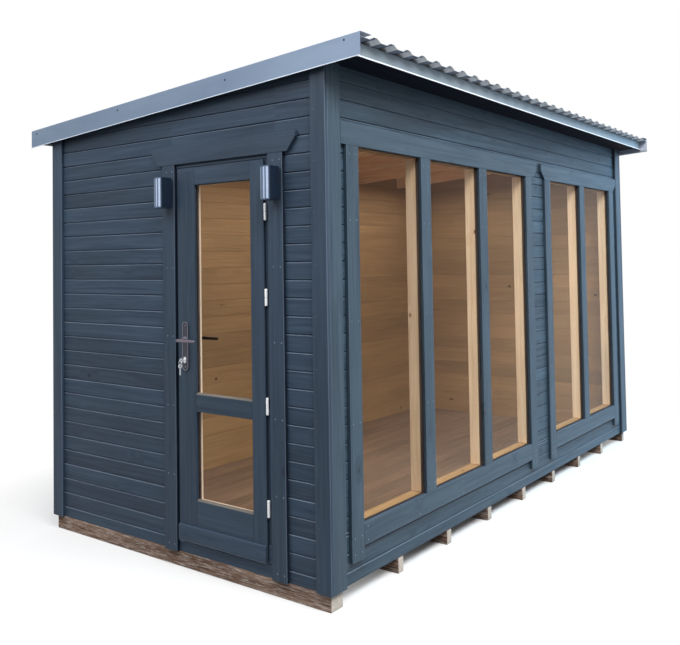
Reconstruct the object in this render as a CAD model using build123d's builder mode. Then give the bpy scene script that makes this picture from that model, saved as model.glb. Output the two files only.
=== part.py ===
"""Timber summer house: a boarded pent-roof cabin with a half-glazed door in one end
and five tall fixed panes along the front, on nine floor bearers.

X runs along the window wall, from the door end to the far end. Y runs from the window
wall to the back wall. Z is up, and the origin is under the middle of the roof's plan,
at the underside of the bearers.
"""
from build123d import *
import math
import os

# Walls, measured over the boards
body_length = 4150
body_depth = 2086
cladding = 20
lining = 65
trim = 20
course = 85
base_course = 60

# Floor
bearer_height = 80
bearer_width = 50
door_bearer_width = 90
bearer_first = 607
bearer_repeats = 7
bearer_tail = 543
bearer_end_gap = 10
deck = 28

# Corner boards
end_corner_width = 90
side_corner_width = 100

# Roof
roof_slope = 3.8
eaves_height = 2510
front_overhang = 247
back_overhang = 190
side_overhang = 52
roof_board = 20
fascia_board = 20
fascia_set = 55
fascia_drop = 14
batten_width = 45
batten_height = 23
batten_count = 5
flashing = 2
eaves_drop = 17
barge_drop = 36
barge_rise = 67
barge_cover = 90
drip = 6
rib_pitch = 138
rib_first = 70
rib_height = 15
rib_crest = 28
rib_foot = 84
sheet = 2
rafter_width = 45
rafter_depth = 95
rafter_count = 6

# Windows
window_start = 143
window_pier = 225
window_end = 186
casing_width = 98
first_pane_count = 3
second_pane_count = 2
glass_bottom = 343
glass_drop = 373
glass_edge = 13
unit_thickness = 18
unit_gap = 1
sill_board = 106
casing_foot = 177
header_height = 108
ear_reach = 87
ear_start = 60
ear_end = 73
ear_slant = 62
ear_rise = 56

# Doorway, from the window wall's face along the door wall
doorway_start = 338
doorway_width = 663
door_casing = 95
door_head_drop = 400
door_header_height = 95
door_header_reach = 84
door_ear_reach = 55
door_ear_rise = 67
head_strip = 5
frame_lap = 20
rough_margin = 38

# Door leaf
leaf_start = 370
leaf_width = 611
leaf_bottom = 150
leaf_head_gap = 24
leaf_thickness = 45
lip = 10
lip_lap = 18
leaf_stand = 15
running_gap = 5
stop = 15
hinge_stile = 88
lock_stile = 130
top_rail = 92
mid_rail_bottom = 821
mid_rail = 88
bottom_rail = 215
glazing_rebate = 12
door_glass = 18
weatherboard_height = 83
weatherboard = 11
foot_block_height = 87
foot_block = 8

# Hinges
barrel_radius = 7.5
barrel_length = 84
hinge_offset = 9
hinge_set = 10
hinge_shares = (0.1327, 0.3838, 0.6539, 0.8678)
pin_radius = 3.5
pin_clearance = 0.05
barrel_gap = 1
neck_radius = 3

# Handle and lock
plate_width = 43
plate_height = 254
plate_reach_below = 160
plate_thickness = 8
spindle_height = 1188
backset = 60
spindle = 8
neck = 9
neck_clearance = 0.05
lever_stand = 48
lever_length = 134
lever_thickness = 16
lock_below = 105
cylinder_width = 17
cylinder_height = 33
cylinder_stand = 6
key_length = 22
key_bow = 24
key_thickness = 2.5

# Wall lamps
lamp_width = 58
lamp_depth = 78
lamp_height = 160
lamp_below_head = 230
lamp_nose = 12
lamp_foot = 12
lamp_shift = 12

# Worked out from the sizes above
door_face = -body_length / 2
far_face = body_length / 2
window_face = -(body_depth + front_overhang + back_overhang) / 2 + front_overhang
back_face = window_face + body_depth
wall = cladding + lining
base = bearer_height
floor_top = base + deck
roof_front = window_face - front_overhang
roof_back = back_face + back_overhang
roof_left = door_face - side_overhang
roof_right = far_face + side_overhang
slope_tangent = math.tan(math.radians(roof_slope))
down_slope = Vector(0, math.cos(math.radians(roof_slope)), -math.sin(math.radians(roof_slope)))
soffit_plane = Plane(
    origin=(0, window_face, eaves_height),
    x_dir=(1, 0, 0),
    z_dir=(0, math.sin(math.radians(roof_slope)), math.cos(math.radians(roof_slope))),
)
tall = eaves_height + front_overhang
door_head = eaves_height - door_head_drop
leaf_top = door_head - leaf_head_gap
glass_top = eaves_height - glass_drop
bearer_spacing = (body_length - bearer_tail - bearer_first) / (bearer_repeats - 1)
pane_width = (
    body_length - window_start - window_pier - window_end - (first_pane_count + second_pane_count + 2) * casing_width
) / (first_pane_count + second_pane_count)
rough_start = doorway_start - rough_margin
rough_end = doorway_start + doorway_width + rough_margin
pane_pitch = pane_width + casing_width
group_one = window_start
group_two = window_start + first_pane_count * pane_pitch + casing_width + window_pier

os.makedirs("parts", exist_ok=True)


def soffit(y):
    """Height of the roof boards' underside at a place along the depth."""
    return eaves_height - slope_tangent * (y - window_face)


def slope_length(start, end):
    """Length down the slope between two places along the depth."""
    return (end - start) / math.cos(math.radians(roof_slope))


def along(distance):
    """X of a distance from the door wall's face."""
    return door_face + distance


def deep(distance):
    """Y of a distance from the window wall's face."""
    return window_face + distance


def save(piece, name):
    piece.part.label = name
    export_step(piece.part, f"parts/{name}.step")


# Floor bearers, the first one wider under the door wall
bearer_ends = [bearer_first + i * bearer_spacing for i in range(bearer_repeats)]
bearer_ends.append(body_length - bearer_end_gap)
with BuildPart() as floor_bearers:
    with BuildSketch(Plane.XY):
        with Locations((along(door_bearer_width / 2), deep(body_depth / 2))):
            Rectangle(door_bearer_width, body_depth)
        with Locations([(along(end - bearer_width / 2), deep(body_depth / 2)) for end in bearer_ends]):
            Rectangle(bearer_width, body_depth)
    extrude(amount=bearer_height)
save(floor_bearers, "floor_bearers")

with BuildPart() as floor_deck:
    with BuildSketch(Plane.XY.offset(base)):
        with Locations((0, deep(body_depth / 2))):
            Rectangle(body_length - 2 * cladding, body_depth - 2 * cladding)
    extrude(amount=deck)
save(floor_deck, "floor_deck")


def slab_outline(y0, y1, z0, z1=None):
    """Corners of a slab across the depth, up to the roof where it has no height of its own."""
    return [
        (deep(y0), z0),
        (deep(y1), z0),
        (deep(y1), z1 or soffit(deep(y1))),
        (deep(y0), z1 or soffit(deep(y0))),
    ]


def end_wall(name, x, thickness, outlines):
    """Slabs of one thickness in an end wall."""
    with BuildPart() as slabs:
        with BuildSketch(Plane.YZ.offset(x)):
            for outline in outlines:
                with BuildLine():
                    Polyline(*slab_outline(*outline), close=True)
                make_face()
        extrude(amount=thickness)
    save(slabs, name)


# Door wall, split beside, over and under the doorway
lining_x = door_face + cladding
beside = [(0, rough_start), (rough_end, body_depth)]
over = (rough_start, rough_end, door_head + frame_lap)
end_wall("door_wall_boards", door_face, cladding, [(y0, y1, base) for y0, y1 in beside])
end_wall(
    "doorway_boards", door_face, cladding, [over, (rough_start, rough_end, base, base + base_course)]
)
beside = [(cladding, rough_start), (rough_end, body_depth - cladding)]
end_wall("door_wall_lining", lining_x, lining, [(y0, y1, floor_top) for y0, y1 in beside])
end_wall("doorway_lining", lining_x, lining, [over])

# Far end wall
end_wall("far_wall_boards", far_face - cladding, cladding, [(0, body_depth, base)])
end_wall("far_wall_lining", far_face - wall, lining, [(cladding, body_depth - cladding, floor_top)])

# Back wall
with BuildPart() as back_wall_boards:
    with BuildSketch(Plane.XZ.offset(-back_face)):
        with Locations((0, (base + tall) / 2)):
            Rectangle(body_length - 2 * cladding, tall - base)
    extrude(amount=cladding)
    split(bisect_by=soffit_plane, keep=Keep.BOTTOM)
save(back_wall_boards, "back_wall_boards")

with BuildPart() as back_wall_lining:
    with BuildSketch(Plane.XZ.offset(-(back_face - cladding))):
        with Locations((0, (floor_top + tall) / 2)):
            Rectangle(body_length - 2 * wall, tall - floor_top)
    extrude(amount=lining)
    split(bisect_by=soffit_plane, keep=Keep.BOTTOM)
save(back_wall_lining, "back_wall_lining")

# Window wall: strips below and above the panes, and the piers between the groups
unit_bottom = glass_bottom - glass_edge
unit_top = glass_top + glass_edge
groups = [(group_one, first_pane_count), (group_two, second_pane_count)]
group_ends = [start + count * pane_pitch + casing_width for start, count in groups]

with BuildPart() as window_wall_boards:
    with BuildSketch(Plane.XZ.offset(-(window_face + cladding))):
        with Locations((0, (base + unit_bottom) / 2)):
            Rectangle(body_length - 2 * cladding, unit_bottom - base)
        with Locations((0, (unit_top + tall) / 2)):
            Rectangle(body_length - 2 * cladding, tall - unit_top)
    extrude(amount=cladding)
    split(bisect_by=soffit_plane, keep=Keep.BOTTOM)
save(window_wall_boards, "window_wall_boards")

glass_reach = casing_width - glass_edge
pier_spans = [
    (cladding, group_one + glass_reach),
    (group_ends[0] - glass_reach, group_two + glass_reach),
    (group_ends[1] - glass_reach, body_length - cladding),
]
with BuildPart() as window_wall_piers:
    with BuildSketch(Plane.XZ.offset(-(window_face + cladding))):
        for start, end in pier_spans:
            with Locations((along((start + end) / 2), (unit_bottom + unit_top) / 2)):
                Rectangle(end - start, unit_top - unit_bottom)
    extrude(amount=cladding)
save(window_wall_piers, "window_wall_piers")

with BuildPart() as window_wall_lining:
    with BuildSketch(Plane.XZ.offset(-(window_face + wall))):
        with Locations((0, (floor_top + glass_bottom) / 2)):
            Rectangle(body_length - 2 * wall, glass_bottom - floor_top)
        with Locations((0, (glass_top + tall) / 2)):
            Rectangle(body_length - 2 * wall, tall - glass_top)
    extrude(amount=lining)
    split(bisect_by=soffit_plane, keep=Keep.BOTTOM)
save(window_wall_lining, "window_wall_lining")

# Posts behind the casings, the mullion posts with a tongue between the panes
post_spans = [
    (wall, group_one + casing_width),
    (group_ends[0] - casing_width, group_two + casing_width),
    (group_ends[1] - casing_width, body_length - wall),
]
mullions = [start + k * pane_pitch for start, count in groups for k in range(1, count)]
with BuildPart() as window_posts:
    with BuildSketch(Plane.XY.offset(glass_bottom)):
        for start, end in post_spans + [(m, m + casing_width) for m in mullions]:
            with Locations((along((start + end) / 2), deep(cladding + lining / 2))):
                Rectangle(end - start, lining)
        with Locations([(along(m + casing_width / 2), deep(cladding / 2)) for m in mullions]):
            Rectangle(casing_width - 2 * glass_edge, cladding)
    extrude(amount=glass_top - glass_bottom)
save(window_posts, "window_posts")

panes = [start + casing_width + k * pane_pitch for start, count in groups for k in range(count)]
with BuildPart() as window_panes:
    with BuildSketch(Plane.XZ.offset(-(window_face + unit_gap + unit_thickness))):
        with Locations([(along(p + pane_width / 2), (unit_bottom + unit_top) / 2) for p in panes]):
            Rectangle(pane_width + 2 * glass_edge, unit_top - unit_bottom)
    extrude(amount=unit_thickness)
save(window_panes, "window_panes")

# Window trim
with BuildPart() as window_casings:
    with BuildSketch(Plane.XZ.offset(-window_face)):
        for start, end in zip((group_one, group_two), group_ends):
            for edge in (start, end - casing_width):
                with Locations((along(edge + casing_width / 2), (casing_foot + glass_top) / 2)):
                    Rectangle(casing_width, glass_top - casing_foot)
        with Locations([(along(m + casing_width / 2), (glass_bottom + glass_top) / 2) for m in mullions]):
            Rectangle(casing_width, glass_top - glass_bottom)
    extrude(amount=trim)
save(window_casings, "window_casings")

with BuildPart() as window_sill_boards:
    with BuildSketch(Plane.XZ.offset(-window_face)):
        for start, end in zip((group_one, group_two), group_ends):
            left, right = start + casing_width, end - casing_width
            with Locations((along((left + right) / 2), glass_bottom - sill_board / 2)):
                Rectangle(right - left, sill_board)
    extrude(amount=trim)
save(window_sill_boards, "window_sill_boards")


header_top = glass_top + header_height
header_left = along(side_corner_width)
header_spans = [
    (header_left, header_left, along(group_ends[0] + ear_reach - ear_slant), along(group_ends[0] + ear_reach)),
    (
        along(group_two - ear_start),
        along(group_two - ear_start + ear_slant),
        along(group_ends[1] + ear_end - ear_slant),
        along(group_ends[1] + ear_end),
    ),
]
with BuildPart() as window_headers:
    with BuildSketch(Plane.XZ.offset(-window_face)):
        for left, low_left, low_right, right in header_spans:
            with BuildLine():
                corners = [
                    (low_left, glass_top),
                    (low_right, glass_top),
                    (right, glass_top + ear_rise),
                    (right, header_top),
                    (left, header_top),
                ]
                if low_left != left:
                    corners.append((left, glass_top + ear_rise))
                Polyline(*corners, close=True)
            make_face()
    extrude(amount=trim)
save(window_headers, "window_headers")

# Corner boards: those on the end walls lap the edges of those on the long walls
with BuildPart() as end_corner_boards:
    with BuildSketch(Plane.XY.offset(base)):
        for x in (door_face - trim / 2, far_face + trim / 2):
            for y in (window_face - trim + end_corner_width / 2, back_face + trim - end_corner_width / 2):
                with Locations((x, y)):
                    Rectangle(trim, end_corner_width)
    extrude(amount=tall - base)
    split(bisect_by=soffit_plane, keep=Keep.BOTTOM)
save(end_corner_boards, "end_corner_boards")

with BuildPart() as side_corner_boards:
    with BuildSketch(Plane.XY.offset(base)):
        for x in (along(side_corner_width / 2), along(body_length - side_corner_width / 2)):
            for y in (window_face - trim / 2, back_face + trim / 2):
                with Locations((x, y)):
                    Rectangle(side_corner_width, trim)
    extrude(amount=tall - base)
    split(bisect_by=soffit_plane, keep=Keep.BOTTOM)
save(side_corner_boards, "side_corner_boards")

# Door casings and the eared header over them
casing_edges = (doorway_start - door_casing, doorway_start + doorway_width)
with BuildPart() as door_casings:
    with BuildSketch(Plane.YZ.offset(door_face)):
        for edge in casing_edges:
            with Locations((deep(edge + door_casing / 2), (base + door_head) / 2)):
                Rectangle(door_casing, door_head - base)
    extrude(amount=-trim)
save(door_casings, "door_casings")

header_near = deep(doorway_start - door_casing - door_header_reach)
header_far = deep(doorway_start + doorway_width + door_casing + door_header_reach)
with BuildPart() as door_header:
    with BuildSketch(Plane.YZ.offset(door_face)):
        with BuildLine():
            Polyline(
                (header_far, door_head + door_ear_rise),
                (header_far, door_head + door_header_height),
                (header_near, door_head + door_header_height),
                (header_near, door_head + door_ear_rise),
                (header_near + door_ear_reach, door_head),
                (header_far - door_ear_reach, door_head),
                close=True,
            )
        make_face()
    extrude(amount=-trim)
save(door_header, "door_header")

# Door frame: rebated jambs, head and sill
leaf_end = leaf_start + leaf_width
leaf_face = door_face - leaf_stand
body_front = leaf_face + lip
body_back = leaf_face + leaf_thickness
stop_face = body_back + running_gap
jamb_near = leaf_start + lip_lap - running_gap
jamb_far = leaf_end - lip_lap + running_gap
frame_bottom = floor_top
frame_top = door_head + frame_lap
inside_face = door_face + wall
head_rebate = leaf_top - lip_lap + running_gap
sill_rebate = leaf_bottom - running_gap

with BuildPart() as door_jambs:
    with BuildSketch(Plane.XY.offset(frame_bottom)):
        for outer, inner, side in ((rough_start, jamb_near, 1), (rough_end, jamb_far, -1)):
            with BuildLine():
                Polyline(
                    (door_face + cladding, deep(outer)),
                    (inside_face, deep(outer)),
                    (inside_face, deep(inner + side * stop)),
                    (stop_face, deep(inner + side * stop)),
                    (stop_face, deep(inner)),
                    (door_face + cladding, deep(inner)),
                    close=True,
                )
            make_face()
    extrude(amount=frame_top - frame_bottom)
    with BuildSketch(Plane.XY.offset(base + base_course)):
        for outer, inner in ((rough_start, jamb_near), (jamb_far, rough_end)):
            with Locations((door_face + cladding / 2, deep((outer + inner) / 2))):
                Rectangle(cladding, inner - outer)
    extrude(amount=frame_top - base - base_course)
    with BuildSketch(Plane.XY.offset(leaf_bottom)):
        foot_width = leaf_start - running_gap - doorway_start
        with Locations((door_face - foot_block / 2, deep(doorway_start + foot_width / 2))):
            Rectangle(foot_block, foot_width)
    extrude(amount=foot_block_height)
save(door_jambs, "door_jambs")

with BuildPart() as door_frame_rails:
    with BuildSketch(Plane.XZ.offset(-deep(jamb_near))):
        with Locations(((door_face + stop_face) / 2, (head_rebate + frame_top) / 2)):
            Rectangle(stop_face - door_face, frame_top - head_rebate)
    extrude(amount=-(jamb_far - jamb_near))
    with BuildSketch(Plane.XZ.offset(-deep(jamb_near + stop))):
        with Locations(((stop_face + inside_face) / 2, (head_rebate - stop + frame_top) / 2)):
            Rectangle(inside_face - stop_face, frame_top - head_rebate + stop)
    extrude(amount=-(jamb_far - jamb_near - 2 * stop))
    with BuildSketch(Plane.YZ.offset(door_face)):
        with Locations((deep(doorway_start + doorway_width / 2), (leaf_top + running_gap + door_head) / 2)):
            Rectangle(doorway_width, door_head - leaf_top - running_gap)
    extrude(amount=-head_strip)
    with BuildSketch(Plane.XZ.offset(-deep(jamb_near))):
        with BuildLine():
            Polyline(
                (door_face, base + base_course),
                (door_face + cladding, base + base_course),
                (door_face + cladding, floor_top),
                (stop_face, floor_top),
                (stop_face, sill_rebate),
                (door_face, sill_rebate),
                close=True,
            )
        make_face()
    extrude(amount=-(jamb_far - jamb_near))
    with BuildSketch(Plane.XZ.offset(-deep(jamb_near + stop))):
        with Locations(((stop_face + inside_face) / 2, (floor_top + sill_rebate + stop) / 2)):
            Rectangle(inside_face - stop_face, sill_rebate + stop - floor_top)
    extrude(amount=-(jamb_far - jamb_near - 2 * stop))
save(door_frame_rails, "door_frame_rails")

# Door leaf: stiles with a lip over the frame and a rebate for the glass
opening_near = leaf_start + hinge_stile
opening_far = leaf_end - lock_stile
rebate_x = door_face
body_near = leaf_start + lip_lap
body_far = leaf_end - lip_lap
body_top = leaf_top - lip_lap
body_bottom = leaf_bottom
spindle_y = deep(leaf_end - backset)


def stile_plan(body_edge, opening, side):
    """Corners of a stile's body in plan, behind its lip."""
    return [
        (body_front, deep(body_edge)),
        (body_back, deep(body_edge)),
        (body_back, deep(opening - side * glazing_rebate)),
        (rebate_x, deep(opening - side * glazing_rebate)),
        (rebate_x, deep(opening)),
        (body_front, deep(opening)),
    ]


with BuildPart() as door_stiles:
    with BuildSketch(Plane.XY.offset(leaf_bottom)):
        for body_edge, opening, side in ((body_near, opening_near, 1), (body_far, opening_far, -1)):
            with BuildLine():
                Polyline(*stile_plan(body_edge, opening, side), close=True)
            make_face()
    extrude(amount=body_top - leaf_bottom)
    with BuildSketch(Plane.XY.offset(leaf_bottom)):
        for start, end in ((leaf_start, opening_near), (opening_far, leaf_end)):
            with Locations((leaf_face + lip / 2, deep((start + end) / 2))):
                Rectangle(lip, end - start)
    extrude(amount=leaf_top - leaf_bottom)
    with BuildSketch(Plane.YZ.offset(leaf_face)):
        with Locations((spindle_y, spindle_height)):
            Circle(neck + 2)
    extrude(amount=leaf_thickness, mode=Mode.SUBTRACT)
save(door_stiles, "door_stiles")

rail_spans = [
    (leaf_bottom, leaf_bottom + bottom_rail, leaf_bottom, leaf_bottom + bottom_rail - glazing_rebate),
    (
        mid_rail_bottom,
        mid_rail_bottom + mid_rail,
        mid_rail_bottom + glazing_rebate,
        mid_rail_bottom + mid_rail - glazing_rebate,
    ),
    (leaf_top - top_rail, leaf_top, leaf_top - top_rail + glazing_rebate, body_top),
]
rail_length = opening_far - opening_near
with BuildPart() as door_rails:
    for low, high, back_low, back_high in rail_spans:
        front_high = min(high, body_top)
        with BuildSketch(Plane.YZ.offset(leaf_face)):
            with Locations((deep((opening_near + opening_far) / 2), (low + high) / 2)):
                Rectangle(rail_length, high - low)
        extrude(amount=lip)
        with BuildSketch(Plane.YZ.offset(body_front)):
            with Locations((deep((opening_near + opening_far) / 2), (low + front_high) / 2)):
                Rectangle(rail_length, front_high - low)
        extrude(amount=rebate_x - body_front)
        with BuildSketch(Plane.YZ.offset(rebate_x)):
            with Locations((deep((opening_near + opening_far) / 2), (back_low + back_high) / 2)):
                Rectangle(rail_length + 2 * glazing_rebate, back_high - back_low)
        extrude(amount=body_back - rebate_x)
save(door_rails, "door_rails")

openings = [
    (leaf_bottom + bottom_rail, mid_rail_bottom),
    (mid_rail_bottom + mid_rail, leaf_top - top_rail),
]
opening_centre = deep((opening_near + opening_far) / 2)
with BuildPart() as door_panes:
    with BuildSketch(Plane.YZ.offset(rebate_x)):
        for low, high in openings:
            with Locations((opening_centre, (low + high) / 2)):
                Rectangle(rail_length + 2 * glazing_rebate, high - low + 2 * glazing_rebate)
    extrude(amount=door_glass)
save(door_panes, "door_panes")

with BuildPart() as door_glazing_beads:
    with BuildSketch(Plane.YZ.offset(rebate_x + door_glass)):
        for low, high in openings:
            with Locations((opening_centre, (low + high) / 2)):
                Rectangle(rail_length + 2 * glazing_rebate, high - low + 2 * glazing_rebate)
                Rectangle(rail_length, high - low, mode=Mode.SUBTRACT)
    extrude(amount=body_back - rebate_x - door_glass)
save(door_glazing_beads, "door_glazing_beads")

with BuildPart() as door_weatherboard:
    with BuildSketch(Plane.YZ.offset(leaf_face)):
        with Locations((deep(leaf_start + leaf_width / 2), leaf_bottom + weatherboard_height / 2)):
            Rectangle(leaf_width, weatherboard_height)
    extrude(amount=-weatherboard)
    chamfer(
        door_weatherboard.edges().filter_by(Axis.Y).group_by(Axis.Z)[-1].sort_by(Axis.X)[0], weatherboard / 2
    )
save(door_weatherboard, "door_weatherboard")

# Barrel hinges: a pin half on the frame and a socket half on the leaf
hinge_x = door_face - hinge_set
hinge_y = deep(leaf_start - hinge_offset)
half_barrel = (barrel_length - barrel_gap) / 2
hinge_heights = [leaf_bottom + share * (leaf_top - leaf_bottom) for share in hinge_shares]
with BuildPart() as hinge_pin_halves:
    for height in hinge_heights:
        with BuildSketch(Plane.XY.offset(height - barrel_length / 2)):
            with Locations((hinge_x, hinge_y)):
                Circle(barrel_radius)
        extrude(amount=half_barrel)
        with BuildSketch(Plane.XY.offset(height - barrel_gap)):
            with Locations((hinge_x, hinge_y)):
                Circle(pin_radius)
        extrude(amount=half_barrel * 0.8)
        with BuildSketch(Plane.YZ.offset(hinge_x)):
            with Locations((hinge_y, height - barrel_length / 4)):
                Circle(neck_radius)
        extrude(amount=hinge_set)
save(hinge_pin_halves, "hinge_pin_halves")

with BuildPart() as hinge_socket_halves:
    for height in hinge_heights:
        with BuildSketch(Plane.XY.offset(height + barrel_gap / 2)):
            with Locations((hinge_x, hinge_y)):
                Circle(barrel_radius)
        extrude(amount=half_barrel)
        with BuildSketch(Plane.XZ.offset(-hinge_y)):
            with Locations((hinge_x, height + barrel_length / 4)):
                Circle(neck_radius)
        extrude(amount=-hinge_offset)
        with BuildSketch(Plane.XY.offset(height)):
            with Locations((hinge_x, hinge_y)):
                Circle(pin_radius + pin_clearance)
        extrude(amount=half_barrel * 0.85, mode=Mode.SUBTRACT)
save(hinge_socket_halves, "hinge_socket_halves")

# Handle plates, lever and lock
plate_centre = spindle_height - plate_reach_below + plate_height / 2
lock_height = spindle_height - lock_below
with BuildPart() as handle_plates:
    for x, direction in ((leaf_face, -1), (body_back, 1)):
        with BuildSketch(Plane.YZ.offset(x)):
            with Locations((spindle_y, plate_centre)):
                SlotOverall(plate_height, plate_width, rotation=90)
            with Locations((spindle_y, spindle_height)):
                Circle(neck + neck_clearance, mode=Mode.SUBTRACT)
        extrude(amount=direction * plate_thickness)
save(handle_plates, "handle_plates")


with BuildPart() as lever_handles:
    for face, direction in ((leaf_face, -1), (body_back, 1)):
        with BuildSketch(Plane.YZ.offset(face)):
            with Locations((spindle_y, spindle_height)):
                Circle(neck)
                Rectangle(spindle, spindle, mode=Mode.SUBTRACT)
        extrude(amount=direction * (plate_thickness + lever_stand))
        with BuildSketch(Plane.YZ.offset(face + direction * (plate_thickness + lever_stand))):
            with Locations((spindle_y + lever_thickness / 2 - lever_length / 2, spindle_height)):
                SlotOverall(lever_length, lever_thickness)
        extrude(amount=direction * lever_thickness * 0.75)
save(lever_handles, "lever_handles")

with BuildPart() as lever_spindle:
    with BuildSketch(Plane.YZ.offset(leaf_face - plate_thickness)):
        with Locations((spindle_y, spindle_height)):
            Rectangle(spindle, spindle)
    extrude(amount=leaf_thickness + 2 * plate_thickness)
save(lever_spindle, "lever_spindle")

with BuildPart() as lock_cylinder:
    with BuildSketch(Plane.YZ.offset(leaf_face - plate_thickness)):
        with Locations((spindle_y, lock_height)):
            SlotOverall(cylinder_height, cylinder_width, rotation=90)
    extrude(amount=-cylinder_stand)
save(lock_cylinder, "lock_cylinder")

with BuildPart() as door_key:
    key_start = leaf_face - plate_thickness - cylinder_stand
    with BuildSketch(Plane.XZ.offset(-(spindle_y + key_thickness / 2))):
        with Locations((key_start - key_length / 2, lock_height)):
            Rectangle(key_length, 8)
        with Locations((key_start - key_length, lock_height)):
            Circle(key_bow / 2)
        with Locations((key_start - key_length - 6, lock_height)):
            Circle(3.5, mode=Mode.SUBTRACT)
    extrude(amount=key_thickness)
save(door_key, "door_key")

# Wall lamps on the casings: a foot on the board and a round-fronted housing
lamp_places = [
    deep(doorway_start - door_casing / 2 - lamp_shift),
    deep(doorway_start + doorway_width + door_casing / 2 - lamp_shift),
]
lamp_back = door_face - trim - lamp_foot
lamp_bottom = door_head - lamp_below_head
with BuildPart() as lamp_feet:
    with BuildSketch(Plane.YZ.offset(door_face - trim)):
        for y in lamp_places:
            with Locations((y, lamp_bottom + lamp_height / 2)):
                Rectangle(lamp_width * 0.6, lamp_height * 0.6)
    extrude(amount=-lamp_foot)
save(lamp_feet, "lamp_feet")

with BuildPart() as lamp_housings:
    with BuildSketch(Plane.XY.offset(lamp_bottom)):
        for y in lamp_places:
            front = lamp_back - lamp_depth
            with BuildLine():
                Polyline(
                    (front + lamp_nose, y - lamp_width / 2),
                    (lamp_back, y - lamp_width / 2),
                    (lamp_back, y + lamp_width / 2),
                    (front + lamp_nose, y + lamp_width / 2),
                )
                ThreePointArc(
                    (front + lamp_nose, y + lamp_width / 2), (front, y), (front + lamp_nose, y - lamp_width / 2)
                )
            make_face()
    extrude(amount=lamp_height)
save(lamp_housings, "lamp_housings")

# Roof boards with battens on them, rafters and the fascia boards round the eaves
eaves_front = roof_front + fascia_set
eaves_back = roof_back - fascia_set
inner_front = eaves_front + flashing + fascia_board
inner_back = eaves_back - flashing - fascia_board
sheet_lift = roof_board + batten_height
inner_half = (roof_right - roof_left) / 2 - flashing - fascia_board
outer_half = (roof_right - roof_left) / 2 - flashing

with BuildPart() as roof_boards:
    with BuildSketch(Plane.XZ.offset(-inner_front)):
        with Locations((0, soffit(inner_front) + roof_board / 2)):
            Rectangle(2 * inner_half, roof_board)
    extrude(amount=slope_length(inner_front, inner_back), dir=down_slope)
    for k in range(batten_count):
        y = inner_front + k * (inner_back - inner_front - batten_width) / (batten_count - 1)
        with BuildSketch(Plane.XZ.offset(-y)):
            with Locations((0, soffit(y) + sheet_lift / 2)):
                Rectangle(2 * inner_half, sheet_lift)
        extrude(amount=slope_length(y, y + batten_width), dir=down_slope)
save(roof_boards, "roof_boards")

rafter_front = deep(wall)
rafter_back = deep(body_depth - wall)
rafter_run = body_length - 2 * wall
with BuildPart() as roof_rafters:
    with BuildSketch(Plane.XZ.offset(-rafter_front)):
        for k in range(rafter_count):
            x = -rafter_run / 2 + (k + 0.5) * rafter_run / rafter_count
            with Locations((x, soffit(rafter_front) - rafter_depth / 2)):
                Rectangle(rafter_width, rafter_depth)
    extrude(amount=slope_length(rafter_front, rafter_back), dir=down_slope)
save(roof_rafters, "roof_rafters")

fascia_height = fascia_drop + sheet_lift - flashing
with BuildPart() as eaves_fascias:
    for y in (eaves_front + flashing, inner_back):
        with BuildSketch(Plane.XZ.offset(-y)):
            with Locations((0, soffit(y) - fascia_drop + fascia_height / 2)):
                Rectangle(2 * outer_half, fascia_height)
        extrude(amount=slope_length(y, y + fascia_board), dir=down_slope)
save(eaves_fascias, "eaves_fascias")

with BuildPart() as barge_boards:
    with BuildSketch(Plane.XZ.offset(-inner_front)):
        for x in (-outer_half + fascia_board / 2, outer_half - fascia_board / 2):
            with Locations((x, soffit(inner_front) + sheet_lift / 2)):
                Rectangle(fascia_board, sheet_lift)
    extrude(amount=slope_length(inner_front, inner_back), dir=down_slope)
save(barge_boards, "barge_boards")

# Ribbed roof sheet, its ribs running down the slope
sheet_half = outer_half - flashing
rib_count = int((sheet_half - rib_foot / 2 - along(rib_first)) // rib_pitch) + 1


def rib_line(offset):
    """The ribbed outline from one side to the other, at a height over the boards."""
    points = []
    for k in range(rib_count):
        centre = along(rib_first + k * rib_pitch)
        points += [
            (centre - rib_foot / 2, offset),
            (centre - rib_crest / 2, offset + rib_height),
            (centre + rib_crest / 2, offset + rib_height),
            (centre + rib_foot / 2, offset),
        ]
    return [(-sheet_half, offset)] + points + [(sheet_half, offset)]


trough = soffit(roof_front) + sheet_lift
with BuildPart() as roof_sheet:
    with BuildSketch(Plane.XZ.offset(-roof_front)):
        with BuildLine():
            Polyline(*rib_line(trough), *reversed(rib_line(trough + sheet)), close=True)
        make_face()
    extrude(amount=slope_length(roof_front, roof_back), dir=down_slope)
save(roof_sheet, "roof_sheet")

# Metal flashings over the fascias
with BuildPart() as barge_flashings:
    for side in (-1, 1):
        outer = side * (roof_right - roof_left) / 2
        low = soffit(roof_front) - barge_drop
        high = soffit(roof_front) + barge_rise
        with BuildSketch(Plane.XZ.offset(-roof_front)):
            with BuildLine():
                Polyline(
                    (outer + side * drip, low - drip),
                    (outer, low),
                    (outer, high),
                    (outer - side * barge_cover, high),
                    (outer - side * barge_cover, high - flashing),
                    (outer - side * flashing, high - flashing),
                    (outer - side * flashing, low),
                    (outer + side * (drip - flashing), low - drip),
                    close=True,
                )
            make_face()
        extrude(amount=slope_length(roof_front, roof_back), dir=down_slope)
save(barge_flashings, "barge_flashings")

with BuildPart() as eaves_flashings:
    for y, side in ((eaves_front, -1), (eaves_back, 1)):
        low = soffit(y) - eaves_drop
        high = soffit(y) + sheet_lift - flashing
        half = outer_half
        with BuildSketch(Plane.YZ.offset(-half)):
            with BuildLine():
                Polyline(
                    (y + side * drip, low - drip),
                    (y, low),
                    (y, high),
                    (y - side * flashing, high),
                    (y - side * flashing, low),
                    (y + side * (drip - flashing), low - drip),
                    close=True,
                )
            make_face()
        extrude(amount=2 * half)
save(eaves_flashings, "eaves_flashings")
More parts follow.
